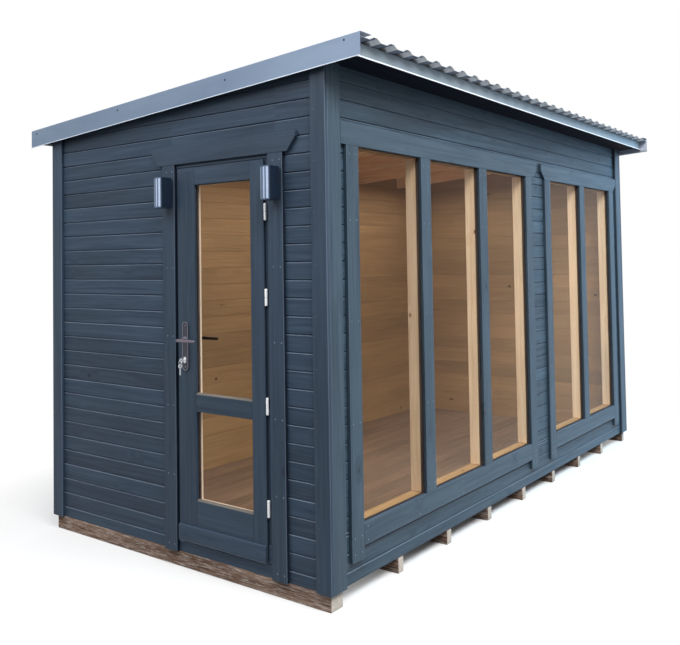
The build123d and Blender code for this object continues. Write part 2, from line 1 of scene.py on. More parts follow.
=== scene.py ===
"""Looks of the timber summer house: boards, trim, glazing, hinges, lamps and metal roof.

Metres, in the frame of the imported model: X along the window wall, Y from the window
wall to the back, Z up from the underside of the bearers.
"""
import math
import random

import bmesh
import bpy
from mathutils import Matrix, Vector


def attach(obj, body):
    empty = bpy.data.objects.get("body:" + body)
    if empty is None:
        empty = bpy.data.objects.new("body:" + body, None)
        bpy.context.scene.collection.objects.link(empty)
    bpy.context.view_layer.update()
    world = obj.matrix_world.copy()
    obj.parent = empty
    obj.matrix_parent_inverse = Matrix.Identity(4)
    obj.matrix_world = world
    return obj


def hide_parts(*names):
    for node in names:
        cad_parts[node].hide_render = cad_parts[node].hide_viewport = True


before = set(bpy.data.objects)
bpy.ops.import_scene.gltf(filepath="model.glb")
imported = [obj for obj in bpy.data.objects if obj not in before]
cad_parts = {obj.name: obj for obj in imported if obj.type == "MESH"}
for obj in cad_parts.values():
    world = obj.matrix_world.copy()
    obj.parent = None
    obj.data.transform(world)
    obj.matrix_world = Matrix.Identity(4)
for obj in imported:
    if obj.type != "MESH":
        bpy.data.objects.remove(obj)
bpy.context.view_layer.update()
rng = random.Random(11)
scene = bpy.context.scene

# Places shared with the solids

LEFT, RIGHT = -2.075, 2.075
FRONT, BACK = -1.0145, 1.0715
SKIN, LINING = 0.02, 0.065
INNER = SKIN + LINING
BASE, FLOOR = 0.08, 0.108
GROOVE, COURSE, LINING_COURSE = 0.1435, 0.085, 0.12
EAVES = 2.51
TOP = EAVES + 0.05
SLOPE = math.tan(math.radians(3.8))
ROOF_FRONT, ROOF_BACK = -1.2615, 1.2615
EAVES_FRONT, EAVES_BACK = ROOF_FRONT + 0.055, ROOF_BACK - 0.055
ROOF_SIDE = 2.127
LIFT = 0.043


def soffit(y):
    """Height of the roof boards' underside."""
    return EAVES - SLOPE * (y - FRONT)


# Materials

# Colour of the painted sky reflection in the sheen.
SKY_TINT = (0.35, 0.68, 1.0, 1.0)
GLASS_TINT = (0.975, 0.98, 0.98, 1.0)
WHITE = (1.0, 1.0, 1.0, 1.0)


def linear(colour):
    """Linear colour from one written as 0 to 255."""
    shares = [value / 255 for value in colour]
    return (*(c / 12.92 if c <= 0.04045 else ((c + 0.055) / 1.055) ** 2.4 for c in shares), 1.0)


class Nodes:
    """The node tree of a world or material, with short calls for the nodes used here."""

    def __init__(self, owner):
        owner.use_nodes = True
        self.owner = owner
        self.tree = owner.node_tree

    def add(self, kind, inputs=None, **settings):
        node = self.tree.nodes.new(kind)
        for key, value in settings.items():
            setattr(node, key, value)
        for key, value in (inputs or {}).items():
            self.feed(node.inputs[key], value)
        return node

    def feed(self, socket, value):
        if isinstance(value, bpy.types.NodeSocket):
            self.tree.links.new(value, socket)
        else:
            socket.default_value = value

    def math(self, operation, a, b=0.0):
        return self.add("ShaderNodeMath", {0: a, 1: b}, operation=operation).outputs[0]

    def plus(self, a, b, factor):
        """a and b times a factor."""
        return self.math("ADD", a, self.math("MULTIPLY", b, factor))

    def vector(self, operation, a, b):
        return self.add("ShaderNodeVectorMath", {0: a, 1: b}, operation=operation).outputs[0]

    def noise(self, place, stretch=None, scale=1.0, detail=3.0, roughness=0.55, distortion=0.0):
        """Noise, drawn out by a stretch of each axis."""
        if stretch:
            place = self.vector("MULTIPLY", place, stretch)
        node = self.add(
            "ShaderNodeTexNoise",
            {"Vector": place, "Scale": scale, "Detail": detail, "Roughness": roughness,
             "Distortion": distortion},
        )
        return node.outputs["Fac"]

    def band(self, factor, low, high, out_low=0.0, out_high=1.0):
        node = self.add(
            "ShaderNodeMapRange",
            {"Value": factor, "From Min": low, "From Max": high, "To Min": out_low, "To Max": out_high},
        )
        return node.outputs["Result"]

    def mix(self, factor, a, b, blend="MIX"):
        node = self.add("ShaderNodeMix", {0: factor, 6: a, 7: b}, data_type="RGBA", blend_type=blend)
        return node.outputs[2]

    def shaded(self, colour, value):
        """The colour made lighter or darker by a value around 1."""
        grey = self.add("ShaderNodeCombineColor", {0: value, 1: value, 2: value}).outputs[0]
        return self.mix(1.0, colour, grey, "MULTIPLY")

    def cells(self, place, scale):
        """Voronoi cells: the distance from each one's middle, and a random number for each."""
        node = self.add("ShaderNodeTexVoronoi", {"Vector": place, "Scale": scale})
        lot = self.add("ShaderNodeSeparateColor", {"Color": node.outputs["Color"]}).outputs[0]
        return node.outputs["Distance"], lot

    def any_ray(self, *kinds):
        """1 for rays of any of these kinds."""
        rays = self.add("ShaderNodeLightPath").outputs
        seen = rays[f"Is {kinds[0]} Ray"]
        for kind in kinds[1:]:
            seen = self.math("MAXIMUM", seen, rays[f"Is {kind} Ray"])
        return seen

    def join_shaders(self, output, factor, first, second):
        """Sends a mix of two shaders to the output node."""
        both = self.add("ShaderNodeMixShader", {0: factor, 1: first.outputs[0], 2: second.outputs[0]})
        self.feed(self.tree.nodes[output].inputs["Surface"], both.outputs[0])


class Surface(Nodes):
    """A new material and its main shader."""

    def __init__(self, name):
        super().__init__(bpy.data.materials.new(name))
        self.shader = self.tree.nodes["Principled BSDF"]

    def put(self, name, value):
        self.feed(self.shader.inputs[name], value)

    def sky_sheen(self, weight):
        """Painted reflection: a cool blue sheen at low angles, standing for a bluish sky mirrored in matt
        paint.
        """
        self.put("Sheen Weight", weight)
        self.put("Sheen Roughness", 0.4)
        self.put("Sheen Tint", SKY_TINT)

    def bump(self, height, strength, distance):
        node = self.add("ShaderNodeBump", {"Height": height, "Strength": strength, "Distance": distance})
        self.put("Normal", node.outputs["Normal"])


def wood(name, light, dark, knot, spread, rough, grain_depth, spacing=0.16, share=0.3,
         shine=0.3, streak=0.5, fibre=0.0, halo=0.35, flakes=None, sheen=0.0):
    """Timber with growth rings drawn out along the grain, knots and board to board change."""
    n = Surface(name)
    light, dark, knot = linear(light), linear(dark), linear(knot)
    place = n.add("ShaderNodeAttribute", attribute_name="grain").outputs["Vector"]
    tint = n.add("ShaderNodeAttribute", attribute_name="tint").outputs["Fac"]

    # Sparse round knots, with a halo that pulls the grain
    distance, lot = n.cells(n.vector("MULTIPLY", place, (0.62 / spacing, 1 / spacing, 1 / spacing)), 1.0)
    chosen = n.math("LESS_THAN", lot, share)
    knot_core = n.math("MULTIPLY", n.band(distance, 0.045, 0.095, 1.0, 0.0), chosen)
    knot_halo = n.math("MULTIPLY", n.band(distance, 0.05, 0.34, 1.0, 0.0), chosen)

    # Growth rings, and change from board to board
    wobble = n.noise(place, (1.1, 9.0, 9.0), detail=2.0)
    stretched = n.vector("MULTIPLY", place, (0.55, 26.0, 26.0))
    pull = n.plus(n.math("MULTIPLY", knot_halo, 0.9), wobble, 1.9)
    bent = n.vector("ADD", stretched, n.add("ShaderNodeCombineXYZ", {1: pull, 2: pull}).outputs[0])
    rings = n.noise(bent, None, 2.1, 4.0, 0.62, 0.3)
    fine = n.noise(place, (5.0, 420.0, 420.0), detail=2.0)
    broad = n.noise(place, (1.6, 5.0, 5.0))
    colour = n.mix(n.band(rings, 0.5 - streak / 2, 0.5 + streak / 2), light, dark)
    value = n.plus(1.0, tint, spread)
    value = n.math("ADD", value, n.band(broad, 0.3, 0.7, -spread, spread))
    value = n.math("ADD", value, n.band(fine, 0.3, 0.7, -0.05, 0.05))
    toned = n.mix(n.math("MULTIPLY", knot_halo, halo), n.shaded(colour, value), dark)
    toned = n.mix(knot_core, toned, knot)
    if flakes:
        torn = n.noise(place, (11.0, 95.0, 95.0), 1.0, 6.0, 0.75)
        toned = n.mix(n.band(torn, 0.48, 0.62, 0.0, 0.75), toned, linear(flakes))
        worn = n.noise(place, (2.5, 110.0, 110.0), 1.7, 6.0, 0.75)
        toned = n.mix(n.band(worn, 0.52, 0.62, 0.0, 0.9), toned, knot)
    n.put("Base Color", toned)
    n.put("Roughness", n.band(rings, 0.2, 0.8, rough - 0.06, rough + 0.08))
    n.put("Specular IOR Level", shine)
    n.sky_sheen(sheen)
    height = n.plus(n.math("MULTIPLY", rings, 0.7), fine, 0.3)
    if fibre:
        cross = n.noise(place, (160.0, 14.0, 14.0), roughness=0.6)
        height = n.plus(height, cross, fibre)
    height = n.math("SUBTRACT", height, n.math("MULTIPLY", knot_core, 0.4))
    n.bump(height, 0.55, grain_depth)
    return n.owner


def metal(name, colour, patch, rough, metallic, streak=(3.0, 3.0, 3.0), spangle=0.0, sheen=0.0):
    """Sheet metal with faint clouding, streaks and an uneven sheen."""
    n = Surface(name)
    n.sky_sheen(sheen)
    place = n.add("ShaderNodeTexCoord").outputs["Object"]
    cloud = n.noise(place, streak, 1.0, 4.0, 0.6)
    fine = n.noise(place, None, 90.0)
    shade = n.mix(n.band(cloud, 0.35, 0.7), linear(colour), linear(patch))
    if spangle:
        lot = n.cells(place, 70.0)[1]
        shade = n.shaded(shade, n.band(lot, 0.0, 1.0, 1.0 - spangle, 1.0 + spangle))
    n.put("Base Color", shade)
    n.put("Metallic", metallic)
    n.put("Roughness", n.band(n.plus(cloud, fine, 0.4), 0.4, 1.0, rough - 0.05, rough + 0.1))
    n.put("Specular IOR Level", 0.35)
    n.bump(n.plus(cloud, fine, 0.08), 0.12, 0.002)
    return n.owner


def glass_material():
    """Clear sheet glass that lets the lamps' light through."""
    n = Surface("clear_glass")
    n.put("Base Color", GLASS_TINT)
    n.put("Roughness", 0.0)
    n.put("IOR", 1.065)
    n.put("Transmission Weight", 1.0)
    clear = n.add("ShaderNodeBsdfTransparent", {"Color": GLASS_TINT})
    n.join_shaders("Material Output", n.any_ray("Shadow", "Diffuse"), n.shader, clear)
    return n.owner


ALONG_ROOF, DOWN_ROOF, FOLDED, BRUSHED = (1.6, 1.0, 6.0), (1.0, 1.6, 6.0), (1.6, 1.6, 6.0), (1.0, 1.0, 30.0)
RIBBED = (6.0, 1.0, 6.0)

paint = wood("dark_stain", (64, 80, 97), (33, 46, 62), (17, 25, 36), 0.15, 0.5, 0.0012,
             spacing=0.2, share=0.35, shine=0.18, streak=0.7, fibre=0.4, halo=0.3)
trim_paint = wood("dark_trim_stain", (65, 80, 96), (38, 51, 67), (21, 30, 42), 0.1, 0.48, 0.0007,
                  spacing=0.3, share=0.2, shine=0.18, streak=0.8, fibre=0.18, halo=0.3)
# Painted highlight: a lighter copy of the wall stain for the boards' top ledges, standing for the light
# they catch.
ledge_highlight_paint = wood("dark_stain_worn_edge", (120, 134, 152), (88, 101, 118), (60, 72, 86), 0.16, 0.4, 0.0004,
                   shine=0.4, streak=0.7)
# Painted highlight: a lighter copy of the trim stain for chamfered arrises, standing for the light the
# edges catch.
arris_highlight_paint = wood("dark_stain_edge", (86, 101, 119), (64, 78, 94), (44, 56, 70), 0.1, 0.4, 0.0004,
                   shine=0.4, streak=0.7)
# Painted shade: a near-black copy of the trim stain for the door casings' inner edge faces, where shade
# falls in the narrow slot.
shade_paint = wood("dark_stain_reveal", (28, 38, 52), (20, 28, 40), (12, 18, 27), 0.08, 0.55, 0.0005,
                   spacing=0.3, share=0.2, shine=0.2, streak=0.8)
# Copies of the wall and trim stain for the window wall, retinted and given a blue sky sheen as painted
# light; their knots and grain are the stain's own.
front_paint_and_painted_light = wood("front_wall_stain", (60, 79, 92), (26, 39, 52), (10, 17, 25), 0.2, 0.5, 0.0014,
                   spacing=0.1, share=0.5, halo=0.8, sheen=0.3)
window_trim_and_painted_light = wood("front_trim_stain", (64, 80, 92), (34, 48, 60), (14, 22, 31), 0.14, 0.48, 0.001,
                  spacing=0.14, share=0.4, streak=0.55, halo=0.7, sheen=0.3)
# Dark stain made near-black as painted shade under the overhang; also the painted shadow under the door
# header.
soffit_stain_and_painted_shade = wood("black_stain", (9, 17, 34), (6, 12, 25), (4, 8, 16), 0.1, 0.8, 0.0005,
                    spacing=0.3, share=0.2, shine=0.12)
pine = wood("pine", (248, 222, 188), (222, 182, 140), (126, 76, 44), 0.1, 0.45, 0.0004,
            spacing=0.11, share=0.45, streak=0.55)
# Painted light: a paler copy of the pine for the door's glazing beads, standing for the light on the lit
# reveal.
bead_pine = wood("bead_pine", (253, 232, 208), (242, 212, 184), (170, 124, 84), 0.05, 0.4, 0.0003,
                 spacing=0.3, share=0.2, shine=0.35)
# Painted shade: a darker copy of the pine for the lining boards, standing for the dimmer light inside the
# room.
lining_pine = wood("lining_pine", (174, 139, 97), (146, 111, 72), (74, 46, 29), 0.12, 0.5, 0.0004,
                   spacing=0.13, share=0.5, streak=0.6)
floor_pine = wood("floor_pine", (136, 109, 87), (100, 78, 61), (62, 42, 31), 0.14, 0.5, 0.0004,
                  spacing=0.2)
weathered = wood("weathered_timber", (164, 136, 119), (96, 72, 58), (54, 36, 28), 0.22, 0.88, 0.0034,
                 spacing=0.3, shine=0.1, streak=0.4, fibre=0.4, flakes=(206, 194, 184))
cut_end = wood("sawn_end", (214, 206, 196), (186, 174, 160), (150, 128, 106), 0.08, 0.9, 0.001, shine=0.1)
# The eaves steel is a lighter, greyer copy of the barge steel with a blue sheen: the same steel, as painted
# light.
barge_steel = metal("barge_steel", (117, 134, 156), (106, 123, 145), 0.42, 0.25, DOWN_ROOF)
eaves_steel = metal("eaves_steel", (136, 146, 153), (123, 135, 144), 0.42, 0.25, ALONG_ROOF, sheen=0.4)
# Painted highlight: pale copies of the flashing steel for the folded drip lips, standing for the light they
# catch.
lip_steel = metal("lip_steel", (236, 240, 246), (224, 229, 236), 0.38, 0.1, FOLDED)
barge_lip_highlight = metal("barge_lip_steel", (196, 203, 212), (180, 188, 198), 0.38, 0.1, FOLDED)
back_steel = metal("back_coat_steel", (190, 196, 210), (174, 180, 194), 0.5, 0.2, FOLDED)
roof_steel = metal("roof_steel", (152, 158, 165), (134, 141, 149), 0.55, 0.1, RIBBED, spangle=0.04)
# The sheet's back coat in two painted shades: darker on the underside as painted shade, near-white with a
# sheen on one flank of each rib as painted highlight.
under_steel_painted_shade = metal("roof_back_coat", (118, 128, 144), (102, 112, 128), 0.5, 0.1, RIBBED)
flank_painted_highlight_steel = metal("roof_back_coat_pale", (252, 253, 254), (240, 243, 246), 0.5, 0.1, RIBBED, sheen=0.6)
zinc = metal("zinc_hinge", (254, 254, 255), (248, 250, 252), 0.35, 0.0)
bronze = metal("bronze_plate", (62, 62, 74), (50, 50, 62), 0.38, 0.3)
# Painted highlight: a lighter copy of the plate bronze for the plates' rims.
rim_highlight_bronze = metal("bronze_rim", (138, 137, 150), (122, 120, 132), 0.3, 0.4)
# Painted shade: a near-black copy of the lever bronze for the lever inside the door.
shade_bronze = metal("bronze_inner_lever", (34, 26, 28), (26, 20, 22), 0.4, 0.3)
lever_bronze = metal("bronze_lever", (124, 116, 126), (104, 96, 106), 0.3, 0.5)
bright = metal("bright_steel", (232, 235, 240), (206, 210, 216), 0.25, 0.35)
pale_screw = metal("zinc_screw", (138, 150, 164), (116, 128, 142), 0.4, 0.3)
# Pale grey coat of the outer foot beads under the panes, lightened as painted highlight for the light these
# ledges catch.
bead_coat_and_highlight = metal("glazing_bead_coat", (118, 112, 104), (98, 92, 86), 0.5, 0.0)
screw_steel = metal("dark_screw", (30, 35, 43), (24, 28, 35), 0.4, 0.5)
lamp_dark = metal("lamp_anthracite", (24, 38, 56), (18, 30, 46), 0.42, 0.15)
# Painted highlight: a pale copy of the lamp metal for the ridges on the lamps' fronts.
lamp_bead_highlight = metal("lamp_aluminium", (182, 197, 221), (168, 183, 207), 0.3, 0.3, BRUSHED)
lamp_grey = metal("lamp_brushed", (92, 110, 138), (82, 100, 128), 0.35, 0.3, BRUSHED)
lens = metal("lamp_lens", (22, 24, 28), (16, 18, 22), 0.12, 0.0)
spacer = metal("spacer_bar", (92, 78, 72), (74, 62, 58), 0.4, 0.4)
glass = glass_material()


def dress(node, material):
    """Gives a carried-over solid its material."""
    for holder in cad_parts[node].material_slots:
        holder.material = material


# Building meshes


def place_in_scene(name, data):
    obj = bpy.data.objects.new(name, data)
    scene.collection.objects.link(obj)
    return obj


def with_neighbours(outline):
    """Each point of an outline, between the one before it and the one after it."""
    points = [Vector(point) for point in outline]
    return list(zip(points[-1:] + points[:-1], points, points[1:] + points[:1]))


def inset(outline, distance):
    """The outline moved inwards by a distance."""
    area = sum(here.x * after.y - after.x * here.y for before, here, after in with_neighbours(outline))
    turn = 1 if area > 0 else -1
    points = []
    for before, here, after in with_neighbours(outline):
        a, b = (Vector((-way.y, way.x)).normalized() * turn for way in (here - before, after - here))
        points.append(tuple(here + (a + b) * distance / max(0.4, 1 + a.dot(b))))
    return points


def soften(outline, distance):
    """The outline with a small chamfer at every corner."""
    points = []
    for before, here, after in with_neighbours(outline):
        for way in (before - here, after - here):
            points.append(tuple(here + way.normalized() * min(distance, way.length * 0.45)))
    return points


def rectangle(a0, b0, a1, b1):
    return [(a0, b0), (a1, b0), (a1, b1), (a0, b1)]


def arc(a, b, radius, start, end, steps):
    """Points on a part of a circle, with both ends."""
    angles = [start + (end - start) * k / steps for k in range(steps + 1)]
    return [(a + radius * math.cos(t), b + radius * math.sin(t)) for t in angles]


def circle(a, b, radius, steps):
    return arc(a, b, radius, 0.0, 2 * math.pi, steps)[:-1]


def slot_outline(a, b, half_width, half_height, steps=10):
    """Upright outline with round ends."""
    straight = half_height - half_width
    top = arc(a, b + straight, half_width, 0.0, math.pi, steps)
    return top + arc(a, b - straight, half_width, math.pi, 2 * math.pi, steps)


def shape(a, b, points, way=1):
    """Points given in millimetres from (a, b). way -1 turns them round in the first direction."""
    return [(a + way * u / 1000, b + v / 1000) for u, v in points]


def evenly(low, high, gaps):
    """Evenly spaced numbers from low to high."""
    return [low + k * (high - low) / gaps for k in range(gaps + 1)]


def closed(count):
    """Each number below count with the one after it, round to the first."""
    return [(k, (k + 1) % count) for k in range(count)]


def spun(profile, centre, axis, steps):
    """A profile of (radius, distance) points turned about an axis through centre."""
    first = "xyz".index(axis) + 1
    verts = []
    for s in range(steps):
        angle = 2 * math.pi * s / steps
        for radius, distance in profile:
            spot = radius * math.cos(angle), radius * math.sin(angle), distance
            verts.append([centre[k] + spot[(k - first) % 3] for k in range(3)])
    return verts


class Piece:
    """One named mesh gathered from solids, each with its own place in the grain."""

    def __init__(self, name, *materials):
        self.name = name
        self.materials = materials
        self.verts, self.faces, self.slots = [], [], []
        self.grain, self.tint = [], []

    def add(self, verts, faces, along="x", slot=0, slots=None):
        """Adds a solid. along is the axis that its grain runs on."""
        base = len(self.verts)
        shift = Vector((rng.uniform(0, 40), rng.uniform(0, 40), rng.uniform(0, 40)))
        tint = rng.uniform(-1, 1)
        order = {"x": (0, 1, 2), "y": (1, 0, 2), "z": (2, 0, 1)}[along]
        for v in verts:
            self.verts.append(tuple(v))
            self.grain.append(tuple(v[k] + shift[j] for j, k in enumerate(order)))
            self.tint.append(tint)
        for i, face in enumerate(faces):
            self.faces.append(tuple(base + k for k in face))
            self.slots.append(slots[i] if slots else slot)

    def bar(self, lo, hi, along="x", edge=0.0015, slot=0, ends=None, arris=None):
        """A box with chamfered edges. ends and arris are slots for its ends and its long chamfers."""
        k = "xyz".index(along)
        u, w = [i for i in range(3) if i != k]
        edge = min(edge, *(0.3 * (hi[i] - lo[i]) for i in range(3)))
        outline = soften(rectangle(lo[u], lo[w], hi[u], hi[w]), edge)
        sides = {} if arris is None else {i: arris for i in range(0, 8, 2)}
        self.prism(outline, (across, lengthways, level)[k], lo[k], hi[k], along, slot, edge, sides, ends)

    def prism(self, outline, place, start, end, along="x", slot=0, edge=0.0, sides=None, ends=None):
        """An outline of (a, b) points, drawn out from start to end. place maps (a, b, c) to a point.

        edge chamfers both ends, sides gives some of the outline's edges slots of their own.
        """
        count = len(outline)
        layers = [(outline, start), (outline, end)]
        if edge:
            step = math.copysign(edge, end - start)
            small = inset(outline, edge)
            layers = [(small, start), (outline, start + step), (outline, end - step), (small, end)]
        verts = [Vector(place(a, b, c)) for points, c in layers for a, b in points]
        faces, slots = [], []
        for layer in range(len(layers) - 1):
            low, high = layer * count, (layer + 1) * count
            for i, j in closed(count):
                faces.append([low + i, low + j, high + j, high + i])
                slots.append((sides or {}).get(i, slot))
        faces += [list(range(count))[::-1], list(range(len(verts) - count, len(verts)))]
        slots += [slot if ends is None else ends] * 2
        self.add(verts, faces, along, slots=slots)

    def tube(self, outline, thickness, place, start, end, along="x", slot=0):
        """A hollow prism: a wall of some thickness inside the outline."""
        count = len(outline)
        rings = [(points, c) for points in (outline, inset(outline, thickness)) for c in (start, end)]
        verts = [Vector(place(a, b, c)) for points, c in rings for a, b in points]
        faces = []
        for i, j in closed(count):
            for p, q, a, b in ((0, 1, i, j), (2, 3, j, i), (0, 2, j, i), (1, 3, i, j)):
                faces.append([p * count + a, p * count + b, q * count + b, q * count + a])
        self.add(verts, faces, along, slot)

    def turned(self, profile, centre, axis="z", steps=28, slot=0):
        """A round solid from a profile of (radius, distance) points along an axis."""
        count = len(profile)
        faces = []
        for s, t in closed(steps):
            for i in range(count - 1):
                faces.append([s * count + i, t * count + i, t * count + i + 1, s * count + i + 1])
        faces.append([s * count for s in range(steps)][::-1])
        faces.append([s * count + count - 1 for s in range(steps)])
        self.add(spun(profile, centre, axis, steps), faces, axis, slot)

    def ring(self, centre, radius, wire, axis, steps=28, around=8):
        """A closed round wire about an axis."""
        section = arc(radius, 0.0, wire, 0.0, 2 * math.pi, around)[:-1]
        faces = []
        for s, n in closed(steps):
            for t, m in closed(around):
                faces.append([s * around + t, n * around + t, n * around + m, s * around + m])
        self.add(spun(section, centre, axis, steps), faces, axis)

    def screws(self, places, facing, radius, slot=0):
        """Countersunk screw heads with a recess, on a face that looks along an axis, as '-x'."""
        axis, way = facing[1], -1 if facing[0] == "-" else 1
        rise = 0.0007 * way
        profile = [(radius, -0.001 * way), (radius, rise * 0.4), (radius * 0.86, rise),
                   (radius * 0.3, rise), (radius * 0.22, -rise)]
        for place in places:
            self.turned(profile, place, axis, 14, slot)

    def make(self, replaces=None, slot="dark_paint", body="cabin", trimmed=False, sharp=50):
        """Makes the object. trimmed cuts off what is above the roof boards' underside."""
        mesh = bpy.data.meshes.new(self.name)
        mesh.from_pydata(self.verts, [], self.faces)
        for m in self.materials:
            mesh.materials.append(m)
        mesh.polygons.foreach_set("material_index", self.slots)
        mesh.polygons.foreach_set("use_smooth", [True] * len(self.slots))
        grain = mesh.attributes.new("grain", "FLOAT_VECTOR", "POINT")
        grain.data.foreach_set("vector", [c for g in self.grain for c in g])
        tint = mesh.attributes.new("tint", "FLOAT", "POINT")
        tint.data.foreach_set("value", self.tint)
        bm = bmesh.new()
        bm.from_mesh(mesh)
        if trimmed:
            lean = math.atan(SLOPE)
            result = bmesh.ops.bisect_plane(
                bm, geom=bm.verts[:] + bm.edges[:] + bm.faces[:], plane_co=(0, FRONT, EAVES),
                plane_no=(0, math.sin(lean), math.cos(lean)), clear_outer=True)
            edges = [e for e in result["geom_cut"] if isinstance(e, bmesh.types.BMEdge)]
            bmesh.ops.holes_fill(bm, edges=edges, sides=0)
        bmesh.ops.recalc_face_normals(bm, faces=bm.faces[:])
        bm.to_mesh(mesh)
        bm.free()
        mesh.update()
        mesh.validate()
        mesh.set_sharp_from_angle(angle=math.radians(sharp))
        obj = place_in_scene(self.name, mesh)
        soft = obj.modifiers.new("edges", "WEIGHTED_NORMAL")
        soft.keep_sharp = True
        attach(obj, body)
        if replaces:
            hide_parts(replaces)


def level(a, b, c):
    """Plan outlines drawn upwards."""
    return (a, b, c)


def across(a, b, c):
    """Outlines on an end wall, drawn along X."""
    return (c, a, b)


def lengthways(a, b, c):
    """Outlines on a long wall, drawn along Y."""
    return (a, c, b)


def down_roof(a, b, c):
    """Sections of X and height over the soffit, drawn down the slope."""
    return (a, c, soffit(c) + b)


def along_roof(a, b, c):
    """Sections of Y and height over the soffit, drawn along the eaves."""
    return (c, a, soffit(a) + b)


def on_door_wall(depth, z, y):
    return (LEFT + depth, y, z)


def on_far_wall(depth, z, y):
    return (RIGHT - depth, y, z)


def on_window_wall(depth, z, x):
    return (x, FRONT + depth, z)


def on_back_wall(depth, z, x):
    return (x, BACK - depth, z)


def board_outline(low, high):
    """A board's section as (depth from its face, height). Its top is a ledge below an open joint."""
    bottom = [(0.0012, low), (0.0, low + 0.0012)]
    top = [(0.0, high - 0.0086), (0.0008, high - 0.0078), (0.0066, high - 0.005), (0.0066, high)]
    return bottom + top + [(SKIN, high), (SKIN, low)]


def courses(low, high):
    """Lowest and highest edge of each board from low to high."""
    edges = [low]
    z = GROOVE
    while z < high - 0.001:
        if z >= low + 0.001:
            edges.append(z)
        z += COURSE
    return list(zip(edges, edges[1:] + [high]))


def clad(name, node, material, place, along, spans, ledge=ledge_highlight_paint, trimmed=True):
    """Outer boards across each span of (start, end, low, high)."""
    wall = Piece(name, material, ledge)
    for start, end, low, high in spans:
        for a, b in courses(low, high):
            # The two ledge faces of each board take the ledge material, a painted highlight.
            wall.prism(board_outline(a, b), place, start, end, along, sides={2: 1, 3: 1})
    wall.make(node, trimmed=trimmed)


def line_wall(name, node, place, along, spans):
    """Level lining boards across each span of (start, end, low, high)."""
    # Lining boards take the darker pine, painted shade.
    lining = Piece(name, lining_pine)
    for start, end, low, high in spans:
        z = FLOOR
        while z < high - 0.001:
            a, b = max(z, low), min(z + LINING_COURSE, high)
            if b > a + 0.004:
                ranges = zip(place(SKIN, a, start), place(INNER, b, end))
                lo, hi = zip(*(sorted(pair) for pair in ranges))
                lining.bar(lo, hi, along, 0.0028)
            z += LINING_COURSE
    lining.make(node, "pine", trimmed=True)


# Floor

bearers = Piece("floor_bearer_timbers", weathered, cut_end)
ends = [0.607 + i * 0.5 for i in range(7)] + [4.14]
for x0, x1 in [(LEFT, LEFT + 0.09)] + [(LEFT + e - 0.05, LEFT + e) for e in ends]:
    bearers.bar((x0, FRONT, 0), (x1, BACK, BASE), "y", 0.003, ends=1)
bearers.make("floor_bearers", "bearer_wood")

floor = Piece("floor_boards", floor_pine)
edges = evenly(FRONT + SKIN, BACK - SKIN, 17)
for y0, y1 in zip(edges, edges[1:]):
    floor.bar((LEFT + SKIN, y0 + 0.0004, BASE), (RIGHT - SKIN, y1 - 0.0004, FLOOR))
floor.make("floor_deck", "pine")

# Outer boards of the walls

ROUGH_START, ROUGH_END = FRONT + 0.3, FRONT + 1.039
SILL_LOW, HEAD = 0.14, 2.11
UNIT_LOW, UNIT_HIGH = 0.33, 2.15
GLASS_LOW, GLASS_HIGH = 0.343, 2.137
REBATE = 0.013
CASING, PANE = 0.098, 0.582
PITCH = PANE + CASING
ONE, TWO = LEFT + 0.143, LEFT + 2.506
ONE_END, TWO_END = ONE + 3 * PITCH + CASING, TWO + 2 * PITCH + CASING
groups = [(ONE, ONE_END), (TWO, TWO_END)]
mullions = [ONE + PITCH, ONE + 2 * PITCH, TWO + PITCH]
pane_starts = [ONE + CASING + k * PITCH for k in range(3)] + [TWO + CASING + k * PITCH for k in range(2)]
start, end = LEFT + SKIN, RIGHT - SKIN

clad("door_wall_cladding", "door_wall_boards", paint, on_door_wall, "y",
     [(FRONT, ROUGH_START, BASE, TOP), (ROUGH_END, BACK, BASE, TOP)])
clad("doorway_cladding", "doorway_boards", paint, on_door_wall, "y",
     [(ROUGH_START, ROUGH_END, HEAD + SKIN, TOP), (ROUGH_START, ROUGH_END, BASE, SILL_LOW)])
clad("far_wall_cladding", "far_wall_boards", paint, on_far_wall, "y", [(FRONT, BACK, BASE, TOP)])
clad("back_wall_cladding", "back_wall_boards", paint, on_back_wall, "x", [(start, end, BASE, TOP)])
clad("window_wall_cladding", "window_wall_boards", front_paint_and_painted_light, on_window_wall, "x",
     [(start, end, BASE, UNIT_LOW), (start, end, UNIT_HIGH, TOP)])
lap = CASING - REBATE
# The piers' board ledges take the painted arris highlight.
clad("window_pier_cladding", "window_wall_piers", front_paint_and_painted_light, on_window_wall, "x",
     [(start, ONE + lap, UNIT_LOW, UNIT_HIGH), (ONE_END - lap, TWO + lap, UNIT_LOW, UNIT_HIGH),
      (TWO_END - lap, end, UNIT_LOW, UNIT_HIGH)], arris_highlight_paint, trimmed=False)

# Inner lining of level boards, with the posts between the panes

start, end = LEFT + INNER, RIGHT - INNER
line_wall("door_wall_inner_boards", "door_wall_lining", on_door_wall, "y",
     [(FRONT + SKIN, ROUGH_START, FLOOR, TOP), (ROUGH_END, BACK - SKIN, FLOOR, TOP)])
line_wall("doorway_inner_boards", "doorway_lining", on_door_wall, "y",
     [(ROUGH_START, ROUGH_END, HEAD + SKIN, TOP)])
line_wall("far_wall_inner_boards", "far_wall_lining", on_far_wall, "y",
     [(FRONT + SKIN, BACK - SKIN, FLOOR, TOP)])
line_wall("back_wall_inner_boards", "back_wall_lining", on_back_wall, "x", [(start, end, FLOOR, TOP)])
line_wall("window_wall_inner_boards", "window_wall_lining", on_window_wall, "x",
     [(start, end, FLOOR, GLASS_LOW), (start, end, GLASS_HIGH, TOP)])

